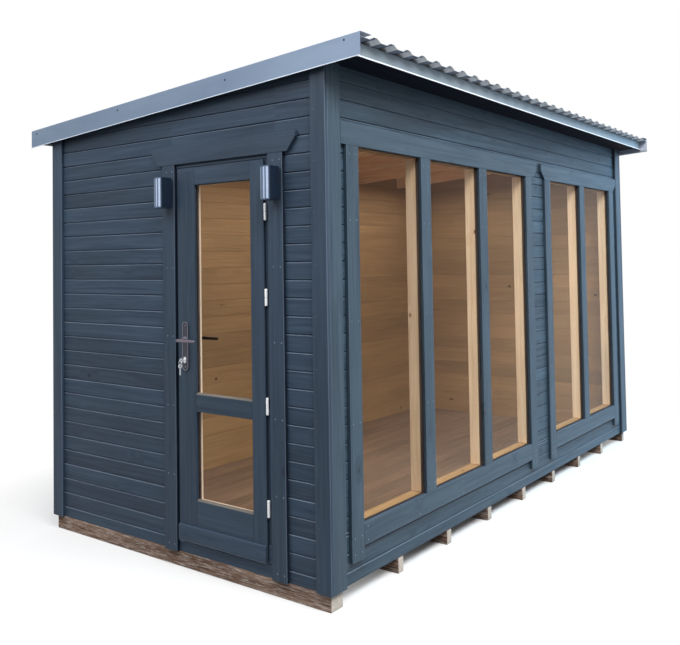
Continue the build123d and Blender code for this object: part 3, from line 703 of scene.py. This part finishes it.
posts = Piece("window_wall_posts", pine)
spans = [(start, ONE + CASING), (ONE_END - CASING, TWO + CASING), (TWO_END - CASING, end)]
for x0, x1 in spans + [(m, m + CASING) for m in mullions]:
    posts.bar((x0, FRONT + SKIN, GLASS_LOW), (x1, FRONT + INNER, GLASS_HIGH), "z", 0.003)
for m in mullions:
    posts.bar((m + REBATE, FRONT, GLASS_LOW), (m + lap, FRONT + SKIN, GLASS_HIGH), "z", 0.0005)
posts.make("window_posts", "pine")

# Sealed units: two sheets of glass on a spacer bar

units = Piece("window_sheets", glass)
bars = Piece("window_spacers", spacer)
for x in pane_starts:
    x0, x1 = x - REBATE, x + PANE + REBATE
    for y in (FRONT + 0.001, FRONT + 0.015):
        units.bar((x0, y, UNIT_LOW), (x1, y + 0.004, UNIT_HIGH), "z", 0.0004)
    bars.tube(rectangle(x0, UNIT_LOW, x1, UNIT_HIGH), 0.016, lengthways, FRONT + 0.0053, FRONT + 0.0147)
units.make("window_panes", "glass")
bars.make(slot="steel")

# Window trim

FACE = FRONT - SKIN
# Slot 2 of the casing and sill boards is the painted arris highlight on their chamfers.
PALE, ARRIS_HIGHLIGHT = 1, 2

trim = Piece("window_casing_boards", window_trim_and_painted_light, pale_screw, arris_highlight_paint)
boards = [(x, 0.177, (0.215, 0.29)) for span in groups for x in (span[0], span[1] - CASING)]
for x, low, heights in boards + [(m, GLASS_LOW, (0.385,)) for m in mullions]:
    trim.bar((x, FACE, low), (x + CASING, FRONT, GLASS_HIGH), "z", 0.0022, arris=ARRIS_HIGHLIGHT)
    heights += (0.82, 1.3, 1.78, 2.095)
    pairs = (x + 0.022, x + CASING - 0.022)
    trim.screws([(pair, FACE, z) for z in heights for pair in pairs], "-y", 0.003, PALE)
trim.make("window_casings")

trim = Piece("window_sill_trim", window_trim_and_painted_light, pale_screw, arris_highlight_paint)
heights = (GLASS_LOW - 0.085, GLASS_LOW - 0.021)
for start, end in groups:
    x0, x1 = start + CASING, end - CASING
    trim.bar((x0, FACE, GLASS_LOW - 0.106), (x1, FRONT, GLASS_LOW), "x", 0.0022, arris=ARRIS_HIGHLIGHT)
    row = evenly(x0 + 0.03, x1 - 0.03, round((x1 - x0) / 0.5))
    trim.screws([(x, FACE, z) for x in row for z in heights], "-y", 0.003, PALE)
trim.make("window_sill_boards")


def header_outline(left, low_left, low_right, right, low, high, rise):
    """A header board whose lower corners slant in, where the low edge is shorter."""
    points = [(low_left, low), (low_right, low), (right, low + rise), (right, high), (left, high)]
    if low_left > left:
        points.append((left, low + rise))
    return soften(points, 0.002)


trim = Piece("window_header_boards", window_trim_and_painted_light)
heights = (GLASS_HIGH + 0.026, GLASS_HIGH + 0.082)
for left, low_left, low_right, right in (
    (LEFT + 0.1, LEFT + 0.1, ONE_END + 0.025, ONE_END + 0.087),
    (TWO - 0.06, TWO + 0.002, TWO_END + 0.011, TWO_END + 0.073),
):
    outline = header_outline(left, low_left, low_right, right, GLASS_HIGH, GLASS_HIGH + 0.108, 0.056)
    trim.prism(outline, lengthways, FACE, FRONT, "x", edge=0.002)
    row = evenly(left + 0.06, right - 0.06, round((right - left) / 0.5))
    trim.screws([(x, FACE, z) for x in row for z in heights], "-y", 0.0032)
trim.make("window_headers")

# Corner boards, with painted screws; chamfers and screw heads take the painted arris highlight

CORNER = 0.1
rows = evenly(0.137, 2.288, 9)

corners = Piece("end_corner_trim", trim_paint, arris_highlight_paint)
for x0, x, facing in ((LEFT - SKIN, LEFT - SKIN, "-x"), (RIGHT, RIGHT + SKIN, "+x")):
    for y0, y1 in ((FACE, FRONT + 0.07), (BACK - 0.07, BACK + SKIN)):
        corners.bar((x0, y0, BASE), (x0 + SKIN, y1, TOP), "z", 0.003, arris=1)
        corners.screws([(x, y0 + 0.069, z) for z in rows], facing, 0.0028, 1)
corners.make("end_corner_boards", trimmed=True)

corners = Piece("side_corner_trim", window_trim_and_painted_light, arris_highlight_paint)
for x0 in (LEFT, RIGHT - CORNER):
    for y0, y, facing in ((FACE, FACE, "-y"), (BACK, BACK + SKIN, "+y")):
        corners.bar((x0, y0, BASE), (x0 + CORNER, y0 + SKIN, TOP), "z", 0.003, arris=1)
        corners.screws([(x0 + 0.072, y, z) for z in rows], facing, 0.0028, 1)
corners.make("side_corner_boards", trimmed=True)

# Door frame and its trim

START, END = FRONT + 0.338, FRONT + 1.001
LEAF_NEAR, LEAF_FAR = FRONT + 0.37, FRONT + 0.981
LEAF_LOW, LEAF_HIGH = 0.15, 2.086
LEAF_FACE = LEFT - 0.015
LEAF_BACK = LEAF_FACE + 0.045
GAP = 0.005
LIP = 0.018
STOP = LEAF_BACK + GAP
JAMB_NEAR, JAMB_FAR = LEAF_NEAR + 0.013, LEAF_FAR - 0.013
FRAME_TOP = HEAD + 0.02
DOOR_CASING = 0.095
OUTER = LEFT - SKIN

trim = Piece("door_casing_boards", trim_paint, pale_screw, arris_highlight_paint, shade_paint)
for y0 in (START - DOOR_CASING, END):
    plan = soften(rectangle(OUTER, y0, LEFT, y0 + DOOR_CASING), 0.0025)
    # The casings' edge faces take painted shade (slot 3) and their chamfers the painted arris highlight
    # (slot 2).
    trim.prism(plan, level, BASE, HEAD, "z", edge=0.002, sides={0: 2, 1: 3, 6: 2})
    heights = (0.116, 0.478, 0.84, 1.202, 1.563, 2.075)
    trim.screws([(OUTER, y0 + side, z) for z in heights for side in (0.016, 0.06)], "-x", 0.0032, 1)
trim.make("door_casings")

trim = Piece("door_header_board", trim_paint)
near, far = START - DOOR_CASING - 0.084, END + DOOR_CASING + 0.084
outline = header_outline(near, near + 0.055, far - 0.055, far, HEAD, HEAD + 0.095, 0.067)
trim.prism(outline, across, OUTER, LEFT, "y", edge=0.002)
heights = (HEAD + 0.024, HEAD + 0.072)
trim.screws([(OUTER, y, z) for y in evenly(near + 0.07, far - 0.07, 3) for z in heights], "-x", 0.0032)
trim.make("door_header")

jambs = Piece("door_frame_jambs", trim_paint, pine)
for outer, inner, way in ((ROUGH_START, JAMB_NEAR, 1), (ROUGH_END, JAMB_FAR, -1)):
    y0, y1 = sorted((outer, inner))
    jambs.bar((LEFT + 0.0004, y0, SILL_LOW), (LEFT + SKIN, y1, FRAME_TOP), "z", 0.0008)
    jambs.bar((LEFT + SKIN, y0, FLOOR), (STOP, y1, FRAME_TOP), "z", 0.0003)
    y0, y1 = sorted((outer, inner + way * 0.015))
    jambs.bar((STOP, y0, FLOOR), (LEFT + INNER, y1, FRAME_TOP), "z", 0.001, 1)
foot = shape(LEFT, LEAF_LOW, [(-8, 0), (0, 0), (0, 87), (-3, 87), (-8, 79)])
jambs.prism(soften(foot, 0.0008), lengthways, START, LEAF_NEAR - GAP, "y", edge=0.0008)
jambs.make("door_jambs")

BODY_NEAR, BODY_FAR = LEAF_NEAR + LIP, LEAF_FAR - LIP
BODY_TOP = LEAF_HIGH - LIP
rebate = BODY_TOP + GAP
sill = LEAF_LOW - GAP
near, far = JAMB_NEAR + 0.015, JAMB_FAR - 0.015

rails = Piece("door_frame_head_and_sill", trim_paint, pine, soffit_stain_and_painted_shade)
rails.bar((LEFT, JAMB_NEAR, rebate), (STOP, JAMB_FAR, FRAME_TOP), "y", 0.0008)
rails.bar((STOP, near, rebate - 0.015), (LEFT + INNER, far, FRAME_TOP), "y", 0.0008, 1)
rails.bar((LEFT - 0.005, START, LEAF_HIGH + GAP), (LEFT, END, HEAD - 0.008), "y", 0.001)
# A near-black strip just under the header's lower edge: painted shadow.
rails.bar((LEFT + 0.001, START, HEAD - 0.01), (LEFT + 0.004, END, HEAD), "y", 0.0002, 2)
rails.bar((LEFT, JAMB_NEAR, SILL_LOW), (LEFT + SKIN, JAMB_FAR, sill), "y", 0.0012)
rails.bar((LEFT + SKIN, JAMB_NEAR, FLOOR), (STOP, JAMB_FAR, sill), "y", 0.0005)
rails.bar((STOP, near, FLOOR), (LEFT + INNER, far, sill + 0.015), "y", 0.002, 1)
rails.make("door_frame_rails")

# Door leaf: painted outside, bare pine inside

NEAR, FAR = LEAF_NEAR + 0.088, LEAF_FAR - 0.13
MID_LOW, MID_HIGH = 0.821, 0.909
LOW_HIGH, TOP_LOW = LEAF_LOW + 0.215, LEAF_HIGH - 0.092
BODY_FRONT = LEAF_FACE + 0.01
BEAD = 0.012

stiles = Piece("door_leaf_stiles", trim_paint, pine)
for edge, body, opening, way in ((LEAF_NEAR, BODY_NEAR, NEAR, 1), (LEAF_FAR, BODY_FAR, FAR, -1)):
    plan = [(LEAF_FACE, edge), (LEAF_FACE, opening), (LEFT, opening), (LEFT, body), (BODY_FRONT, body),
            (BODY_FRONT, edge)]
    stiles.prism(soften(plan, 0.0018), level, LEAF_LOW, BODY_TOP, "z")
    plan = rectangle(LEAF_FACE, min(edge, opening), BODY_FRONT, max(edge, opening))
    stiles.prism(soften(plan, 0.0018), level, BODY_TOP, LEAF_HIGH, "z")
    y0, y1 = sorted((body, opening - way * BEAD))
    stiles.bar((LEFT, y0, LEAF_LOW), (LEAF_BACK, y1, BODY_TOP), "z", 0.002, 1)
stiles.make("door_stiles", body="door")

rails = Piece("door_leaf_rails", trim_paint, pine)
for low, high, back_low, back_high in (
    (LEAF_LOW, LOW_HIGH, LEAF_LOW, LOW_HIGH - BEAD),
    (MID_LOW, MID_HIGH, MID_LOW + BEAD, MID_HIGH - BEAD),
    (TOP_LOW, LEAF_HIGH, TOP_LOW + BEAD, BODY_TOP),
):
    rails.bar((LEAF_FACE, NEAR, low), (BODY_FRONT, FAR, high), "y", 0.0016)
    rails.bar((BODY_FRONT - 0.0016, NEAR, low), (LEFT, FAR, min(high, BODY_TOP)), "y", 0.0002)
    rails.bar((LEFT, NEAR - BEAD, back_low), (LEAF_BACK, FAR + BEAD, back_high), "y", 0.0012, 1)
rails.make("door_rails", body="door")

sheets = Piece("door_sheets", glass)
bars = Piece("door_spacers", spacer)
# The glazing beads take the paler pine, painted light.
beads = Piece("door_inner_beads", bead_pine)
middle = (LEFT + 0.018 + LEAF_BACK) / 2
for low, high in ((LOW_HIGH, MID_LOW), (MID_HIGH, TOP_LOW)):
    y0, y1, z0, z1 = NEAR - 0.0115, FAR + 0.0115, low - 0.0115, high + 0.0115
    for x in (LEFT + 0.0002, LEFT + 0.0138):
        sheets.bar((x, y0, z0), (x + 0.004, y1, z1), "z", 0.0004)
    bars.tube(rectangle(y0, z0, y1, z1), 0.0135, across, LEFT + 0.0045, LEFT + 0.0135)
    outline = rectangle(y0 + 0.0003, z0 + 0.0003, y1 - 0.0003, z1 - 0.0003)
    beads.tube(outline, 0.0145, across, LEFT + 0.018, middle, "y")
    beads.tube(outline, 0.0118, across, middle, LEAF_BACK, "y")
sheets.make("door_panes", "glass", "door")

# The foot beads take the pale coat, partly painted highlight.
sills = Piece("door_pane_foot_beads", bead_coat_and_highlight)
for low in (LOW_HIGH, MID_HIGH):
    section = shape(LEAF_FACE, low, [(1.5, -0.4), (1.5, 2), (15, 9.5), (15, -0.4)])
    sills.prism(section, lengthways, NEAR + 0.0002, FAR - 0.0002, "y", edge=0.0004)
sills.make(body="door")
bars.make(slot="steel", body="door")
beads.make("door_glazing_beads", "pine", "door")

board = Piece("door_weatherboard_trim", trim_paint, screw_steel, arris_highlight_paint)
section = shape(LEAF_FACE, LEAF_LOW, [(0, 0), (-6, 0), (-7.2, 2.2), (-8.4, 0), (-11, 4), (-11, 76),
                                      (-5.5, 83), (0, 83)])
# The lower chamfer takes the painted arris highlight.
board.prism(section, lengthways, LEAF_NEAR, LEAF_FAR, "y", edge=0.001, sides={3: 2})
row = evenly(LEAF_NEAR + 0.05, LEAF_FAR - 0.0501, 3)
board.screws([(LEAF_FACE - 0.011, y, LEAF_LOW + 0.04) for y in row], "-x", 0.003, 1)
board.make("door_weatherboard", body="door")

# Hinges

HINGE_X, HINGE_Y = LEFT - 0.01, LEAF_NEAR - 0.009
PIN, SOCKET = 3.5, 3.55
barrel = [(PIN, 42), (6.2, 40.8), (7.5, 38), (7.5, 30), (7.1, 29.5), (7.1, 28.5), (7.5, 28), (7.5, 2.2),
          (7, 0.6)]
pin_profile = shape(0, 0, [(r, -z) for r, z in barrel] + [(PIN, -0.5), (PIN, 31.5), (2.8, 32.2)])
socket_profile = shape(0, 0, [(SOCKET, 34.5), (SOCKET, 0.5)] + barrel[::-1])
pins = Piece("hinge_pins_on_frame", zinc)
sockets = Piece("hinge_sockets_on_leaf", zinc)
for share in (0.1327, 0.3838, 0.6539, 0.8678):
    h = LEAF_LOW + share * (LEAF_HIGH - LEAF_LOW)
    pins.turned(pin_profile, (HINGE_X, HINGE_Y, h))
    pins.turned([(0.003, 0.0), (0.003, 0.01)], (HINGE_X, HINGE_Y, h - 0.021), "x", 14)
    sockets.turned(socket_profile, (HINGE_X, HINGE_Y, h))
    sockets.turned([(0.003, 0.0072), (0.003, 0.009)], (HINGE_X, HINGE_Y, h + 0.021), "y", 14)
pins.make("hinge_pin_halves", "hinge_metal")
sockets.make("hinge_socket_halves", "hinge_metal", "door")

# Handle set

HAND_Y, HAND_Z = LEAF_FAR - 0.06, 1.188
LOCK_Z = HAND_Z - 0.105
PLATE_Z, PLATE_HALF = HAND_Z - 0.033, 0.127
PLATE = 0.008
sides = ((LEAF_FACE, -1, "-x"), (LEAF_BACK, 1, "+x"))

dress("handle_plates", bronze)
details = Piece("handle_plate_details", rim_highlight_bronze, bright)
for face, way, facing in sides:
    on = face + way * PLATE
    low, high = on - way * 0.0005, on + way * 0.0012
    # Rims, roses and screw heads take the lighter bronze, a painted highlight.
    details.tube(slot_outline(HAND_Y, PLATE_Z, 0.0215, PLATE_HALF, 12), 0.0028, across, low, high, "z")
    details.tube(circle(HAND_Y, HAND_Z, 0.0165, 32), 0.006, across, low, on + way * 0.0022, "z")
    details.screws([(on, HAND_Y, PLATE_Z + 0.108), (on, HAND_Y, PLATE_Z - 0.108)], facing, 0.0036)
details.make(slot="handle_metal", body="door")

levers = Piece("lever_grips", lever_bronze, shade_bronze)
neck = [(8.8, 1), (8.8, 12), (7.8, 14.5), (7.4, 30), (7.8, 44), (9, 56)]
tip, turn = HAND_Y - 0.126, math.pi / 2
outline = arc(HAND_Y, HAND_Z, 0.008, -turn, turn, 8)
outline += [(HAND_Y - 0.05, HAND_Z + 0.0076), (HAND_Y - 0.09, HAND_Z + 0.007)]
outline += arc(tip + 0.0065, HAND_Z, 0.0065, turn, 3 * turn, 8)
outline += [(HAND_Y - 0.09, HAND_Z - 0.007), (HAND_Y - 0.05, HAND_Z - 0.0076)]
for face, way, facing in sides:
    levers.turned(shape(0, 0, [(r, z * way) for r, z in neck]), (face, HAND_Y, HAND_Z), "x")
    # The inside lever's grip takes the near-black painted shade.
    levers.prism(outline, across, face + way * 0.056, face + way * 0.068, "y", 0 if way < 0 else 1, 0.0034)
levers.make("lever_handles", "handle_metal", "lever")
dress("lever_spindle", bright)

lock = Piece("lock_cylinder_and_key", bright)
on = LEAF_FACE - PLATE
nose = on - 0.006
lock.prism(slot_outline(HAND_Y, LOCK_Z, 0.0085, 0.0165), across, on, nose, "x", edge=0.0008)
lock.turned(shape(0, 0, [(6.8, 0), (6.8, -1.6), (6, -2)]), (nose, HAND_Y, LOCK_Z), "x", 24)
lock.make("lock_cylinder", "steel", "door")

keys = Piece("door_keys", bright)
HALF_KEY = 0.00125
y0, y1 = HAND_Y - HALF_KEY, HAND_Y + HALF_KEY
bow = nose - 0.022
keys.bar((nose - 0.012, y0, LOCK_Z - 0.004), (nose - 0.0016, y1, LOCK_Z + 0.004), "x", 0.0004)
keys.tube(circle(bow, LOCK_Z, 0.0118, 28), 0.0078, lengthways, y0, y1, "x")
ring_x, ring_z = bow - 0.0075, LOCK_Z - 0.0105
keys.ring((ring_x, HAND_Y, ring_z), 0.0105, 0.0009, "x")
hang = ring_z - 0.0105 - 0.0076
keys.tube(circle(ring_x, hang, 0.0122, 28), 0.008, lengthways, y0, y1, "z")
blade = [(-4, -11), (4, -11), (4, -18.5), (2.5, -20.5), (4, -22.5), (4, -26.5), (2, -29), (3.6, -31.5),
         (3.6, -35), (2.2, -37.5), (3.6, -40), (3.6, -43), (1.4, -47), (-1.8, -47), (-4, -44.5)]
keys.prism(shape(ring_x, hang, blade), lengthways, y0, y1, "z")
keys.make("door_key", "steel", "door")

# Wall lamps, with a lens at both ends

LAMP_LOW, LAMP_HIGH = HEAD - 0.23, HEAD - 0.07
LAMP_BACK = OUTER - 0.012
LAMP_HALF = 0.029
LAMP_BEADS = (3, 4, 5, 9, 10, 11, 13, 14, 15, 16)
CASING_MIDDLE = DOOR_CASING / 2
feet = Piece("lamp_wall_plates", lamp_dark)
shells = Piece("lamp_shells", lamp_dark, lamp_bead_highlight, lamp_grey, lens)
for y in (START - CASING_MIDDLE - 0.012, END + CASING_MIDDLE - 0.012):
    z = LAMP_LOW + 0.08
    plate = soften(rectangle(y - 0.0174, z - 0.048, y + 0.0174, z + 0.048), 0.003)
    feet.prism(plate, across, LAMP_BACK, OUTER, "z", edge=0.0012)
    front = LAMP_BACK - 0.078
    outline = [(LAMP_BACK, y - LAMP_HALF), (LAMP_BACK, y + LAMP_HALF), (front + 0.02, y + LAMP_HALF)]
    for k in range(21):
        angle = math.pi / 2 - math.pi * k / 20
        reach = 0.012 * math.cos(angle) + (0.0018 if k in LAMP_BEADS else 0.0)
        outline.append((front + 0.0145 - reach, y + LAMP_HALF * math.sin(angle)))
    outline.append((front + 0.02, y - LAMP_HALF))
    # Front faces take the brushed metal; ridge faces the pale painted highlight.
    slots = {}
    for i, j in closed(len(outline)):
        a, b = outline[i], outline[j]
        if abs((a[1] + b[1]) / 2 - y) < 0.0262 and a[0] < front + 0.0145:
            slots[i] = 1 if i - 3 in LAMP_BEADS and i - 2 in LAMP_BEADS else 2
    shells.prism(outline, level, LAMP_LOW + 0.0055, LAMP_HIGH - 0.0055, "z", 0, 0.0004, slots)
    for z in (LAMP_LOW + 0.0005, LAMP_HIGH - 0.0047):
        shells.prism(outline, level, z, z + 0.0042, "z", 0, 0.0006, {i: 2 for i in slots})
    shells.prism(inset(outline, 0.0012), level, LAMP_LOW + 0.0046, LAMP_HIGH - 0.0046, "z")
    for z, way in ((LAMP_LOW, 1), (LAMP_HIGH, -1)):
        shells.tube(inset(outline, 0.0006), 0.0022, level, z, z + way * 0.001, "z")
        disc = [(0.018, 0.0), (0.0165, -0.0004 * way)]
        shells.turned(disc, (LAMP_BACK - 0.036, y, z + way * 0.0008), "z", 24, 3)
feet.make("lamp_feet", "lamp_metal")
shells.make("lamp_housings", "lamp_metal")

# Roof timber

BOARD = 0.02
BATTEN = 0.045
INNER_FRONT, INNER_BACK = EAVES_FRONT + 0.022, EAVES_BACK - 0.022
HALF = ROOF_SIDE - 0.022

boards = Piece("roof_planks", pine, soffit_stain_and_painted_shade)
edges = evenly(FRONT + 0.012, BACK - 0.012, 20)
rows = [(INNER_FRONT, -1.092, 1), (-1.092, edges[0], 1)]
rows += [(y0, y1, 0) for y0, y1 in zip(edges, edges[1:])]
rows.append((edges[-1], INNER_BACK, 1))
spans = [-HALF, LEFT + 0.012, RIGHT - 0.012, HALF]
# The overhanging ends of the planks are near-black: stain and painted shade under the eaves.
for y0, y1, dark in rows:
    outline = [(y0 + 0.0018, 0.0), (y1 - 0.0018, 0.0), (y1, 0.0018), (y1, BOARD), (y0, BOARD), (y0, 0.0018)]
    for x0, x1, slot in zip(spans, spans[1:], (1, dark, 1)):
        boards.prism(outline, along_roof, x0, x1, slot=slot)
battens = evenly(INNER_FRONT, INNER_BACK - BATTEN, 4)
for y in battens:
    outline = soften(rectangle(y, BOARD, y + BATTEN, LIFT), 0.002)
    boards.prism(outline, along_roof, -HALF, HALF, edge=0.002)
boards.make("roof_boards", "pine")

rafters = Piece("roof_rafter_beams", pine)
run = 2 * RIGHT - 2 * INNER
for k in range(6):
    x = -run / 2 + (k + 0.5) * run / 6
    outline = soften(rectangle(x - 0.0225, -0.095, x + 0.0225, 0.0), 0.003)
    rafters.prism(outline, down_roof, FRONT + INNER, BACK - INNER, "y")
rafters.make("roof_rafters", "pine")

# Fascia and barge timbers take the near-black stain with painted shade.
fascias = Piece("eaves_fascia_timbers", soffit_stain_and_painted_shade)
for y in (EAVES_FRONT + 0.002, INNER_BACK):
    outline = soften(rectangle(y, -0.014, y + BOARD, 0.041), 0.0015)
    fascias.prism(outline, along_roof, -HALF - BOARD, HALF + BOARD, edge=0.001)
fascias.make("eaves_fascias", "roof_wood")

fascias = Piece("barge_timbers", soffit_stain_and_painted_shade)
for x0 in (-HALF - BOARD, HALF):
    outline = soften(rectangle(x0, 0.0, x0 + BOARD, LIFT), 0.0015)
    fascias.prism(outline, down_roof, INNER_FRONT, INNER_BACK, "y", edge=0.001)
fascias.make("barge_boards", "roof_wood")

# Ribbed sheet and its screws

RIBS, RIB_PITCH, RIB_FIRST = 30, 0.138, LEFT + 0.07
SHEET_HALF = ROOF_SIDE - 0.004
METAL = 0.0015
lower = [(-SHEET_HALF, 0.0)]
for k in range(RIBS):
    middle = RIB_FIRST + k * RIB_PITCH
    lower += shape(middle, 0, [(-42, 0), (-14, 15), (14, 15), (42, 0)])
lower.append((SHEET_HALF, 0.0))
bent = lower[:1] + soften(lower, 0.0025)[2:-2] + lower[-1:]
section = [(a, LIFT + b) for a, b in bent] + [(a, LIFT + b + METAL) for a, b in reversed(bent)]
# Underside faces take the darker back coat as painted shade; one flank of each rib the near-white painted
# highlight.
beneath = {i: 1 for i in range(len(bent) - 1)}
for k in range(RIBS):
    beneath.update({i + 8 * k: 2 for i in (5, 6, 7)})
sheet = Piece("ribbed_roof_sheet", roof_steel, under_steel_painted_shade, flank_painted_highlight_steel)
sheet.prism(section, down_roof, ROOF_FRONT, ROOF_BACK, "y", sides=beneath)
sheet.make("roof_sheet", "roof_metal", sharp=20)

screws = Piece("roof_sheet_screws", barge_steel)
valleys = [RIB_FIRST + (i + 0.5) * RIB_PITCH for i in range(0, RIBS, 2)]
for y in battens:
    y += BATTEN / 2
    for x in valleys:
        if x < SHEET_HALF - 0.1:
            place = (x, y, soffit(y) + LIFT + 0.0012)
            screws.turned(shape(0, 0, [(7.5, 0), (7.5, 1.6), (6, 2.6)]), place, "z", 16)
            screws.turned(shape(0, 0, [(4.6, 0), (4.6, 6.5), (3.8, 7.5)]), place, "z", 6)
screws.make(slot="roof_metal")

# Flashings round the edge

barges = Piece("barge_flashing_sheets", barge_steel, barge_lip_highlight, back_steel, screw_steel)
section = [(6, -42), (0.2, -36.2), (0, -32), (0, 64), (-3, 67), (-90, 67), (-90, 65.6), (-3.5, 65.6),
           (-1.4, 63.5), (-1.4, -34), (4.8, -42.6)]
# Faces given slot 1 are the drip lip in the painted highlight.
slots = {0: 1, 6: 2, 7: 2, 8: 2, 9: 1, 10: 1}
for side, facing in ((-1, "-x"), (1, "+x")):
    x = side * ROOF_SIDE
    barges.prism(shape(x, 0, section, side), down_roof, ROOF_FRONT, ROOF_BACK, "y", sides=slots)
    heads = ((1.2055, 0.04), (0.4145, 0.036), (-0.4315, 0.027), (-1.1735, 0.047))
    barges.screws([(x, y, soffit(y) + lift) for y, lift in heads], facing, 0.0055, 3)
barges.make("barge_flashings", "flashing_metal", sharp=20)

eaves = Piece("eaves_flashing_sheets", eaves_steel, lip_steel)
section = [(6.5, -23.5), (0.2, -17.2), (0, -14), (0, 41), (-1.4, 41), (-1.4, -15), (5.2, -24.4)]
length = ROOF_SIDE - 0.0025
for y, side in ((EAVES_FRONT, -1), (EAVES_BACK, 1)):
    # The drip lip's faces take the near-white painted highlight.
    eaves.prism(shape(y, 0, section, side), along_roof, -length, length, sides={0: 1, 1: 1, 5: 1, 6: 1})
eaves.make("eaves_flashings", "flashing_metal", sharp=20)

# Setting: seamless white floor, soft light, and the camera

scene.view_settings.view_transform = "Standard"

ground = bpy.data.meshes.new("studio_floor")
ground.from_pydata([(x, y, 0) for x, y in rectangle(-60, -60, 60, 60)], [], [(0, 1, 2, 3)])
floor_object = place_in_scene("studio_floor", ground)
n = Surface("studio_floor")
n.put("Base Color", n.mix(n.any_ray("Diffuse"), (0.88, 0.88, 0.88, 1), (0.14, 0.14, 0.14, 1)))
n.put("Roughness", 0.9)
n.put("Specular IOR Level", 0.1)
place = n.add("ShaderNodeTexCoord").outputs["Object"]
spread = n.vector("MULTIPLY", place, (0.42, 0.62, 0))
away = n.add("ShaderNodeVectorMath", {0: spread}, operation="LENGTH").outputs["Value"]
factor = n.math("MULTIPLY", n.any_ray("Camera", "Glossy", "Transmission"), n.band(away, 0.75, 1.6))
glow = n.add("ShaderNodeEmission", {"Color": WHITE, "Strength": 1.0})
n.join_shaders("Material Output", factor, n.shader, glow)
ground.materials.append(n.owner)

world = bpy.data.worlds.new("studio")
scene.world = world
n = Nodes(world)
sky = n.tree.nodes["Background"]
sky.inputs["Color"].default_value = (0.92, 0.96, 1.0, 1)
sky.inputs["Strength"].default_value = 0.5
plain = n.add("ShaderNodeBackground", {"Color": WHITE, "Strength": 1.0})
n.join_shaders("World Output", n.any_ray("Camera", "Glossy", "Transmission"), sky, plain)


def lamp(name, place, aim, size, power, colour=(1.0, 1.0, 1.0)):
    data = bpy.data.lights.new(name, "AREA")
    data.shape = "RECTANGLE"
    data.size, data.size_y = size
    data.energy = power
    data.color = colour
    obj = place_in_scene(name, data)
    obj.location = place
    obj.rotation_euler = (Vector(aim) - Vector(place)).to_track_quat("-Z", "Y").to_euler()
    return obj


lamp("key", (-2.5, -5.3, 6.6), (-0.3, 0, 1.4), (6.5, 3), 780)
lamp("fill", (-4.9, 0.4, 4.3), (-2.0, 0.0, 1.8), (2.5, 2.5), 92)
cool = lamp("sky", (4.7, -2.8, 2.9), (1.6, -1.0, 2.0), (2.0, 1.6), 190, (0.4, 0.75, 1.0))
room = lamp("room", (0, 0.1, 2.24), (0, 0.1, 0), (3.4, 1.3), 25)
for unseen in (cool, room):
    unseen.visible_camera = unseen.visible_glossy = unseen.visible_transmission = False

PHOTO_WIDTH, FOCAL_PIXELS = 680, 802.84
SENSOR = 36.0
camera_data = bpy.data.cameras.new("camera")
camera_data.sensor_width = SENSOR
camera_data.lens = SENSOR * FOCAL_PIXELS / PHOTO_WIDTH
camera_data.shift_y = -0.1326
camera_data.clip_start, camera_data.clip_end = 0.05, 200
camera = place_in_scene("camera", camera_data)
azimuth, pitch, roll = math.radians(36.872), math.radians(1.989), math.radians(-0.899)
ahead = Vector((math.cos(pitch) * math.cos(azimuth), math.cos(pitch) * math.sin(azimuth), math.sin(pitch)))
flat_right = ahead.cross(Vector((0, 0, 1))).normalized()
right = flat_right * math.cos(roll) + flat_right.cross(ahead) * math.sin(roll)
up = right.cross(ahead)
camera.matrix_world = Matrix((
    (right.x, up.x, -ahead.x, -4.9718),
    (right.y, up.y, -ahead.y, -3.2695),
    (right.z, up.z, -ahead.z, 1.5899),
    (0, 0, 0, 1),
))
scene.camera = camera
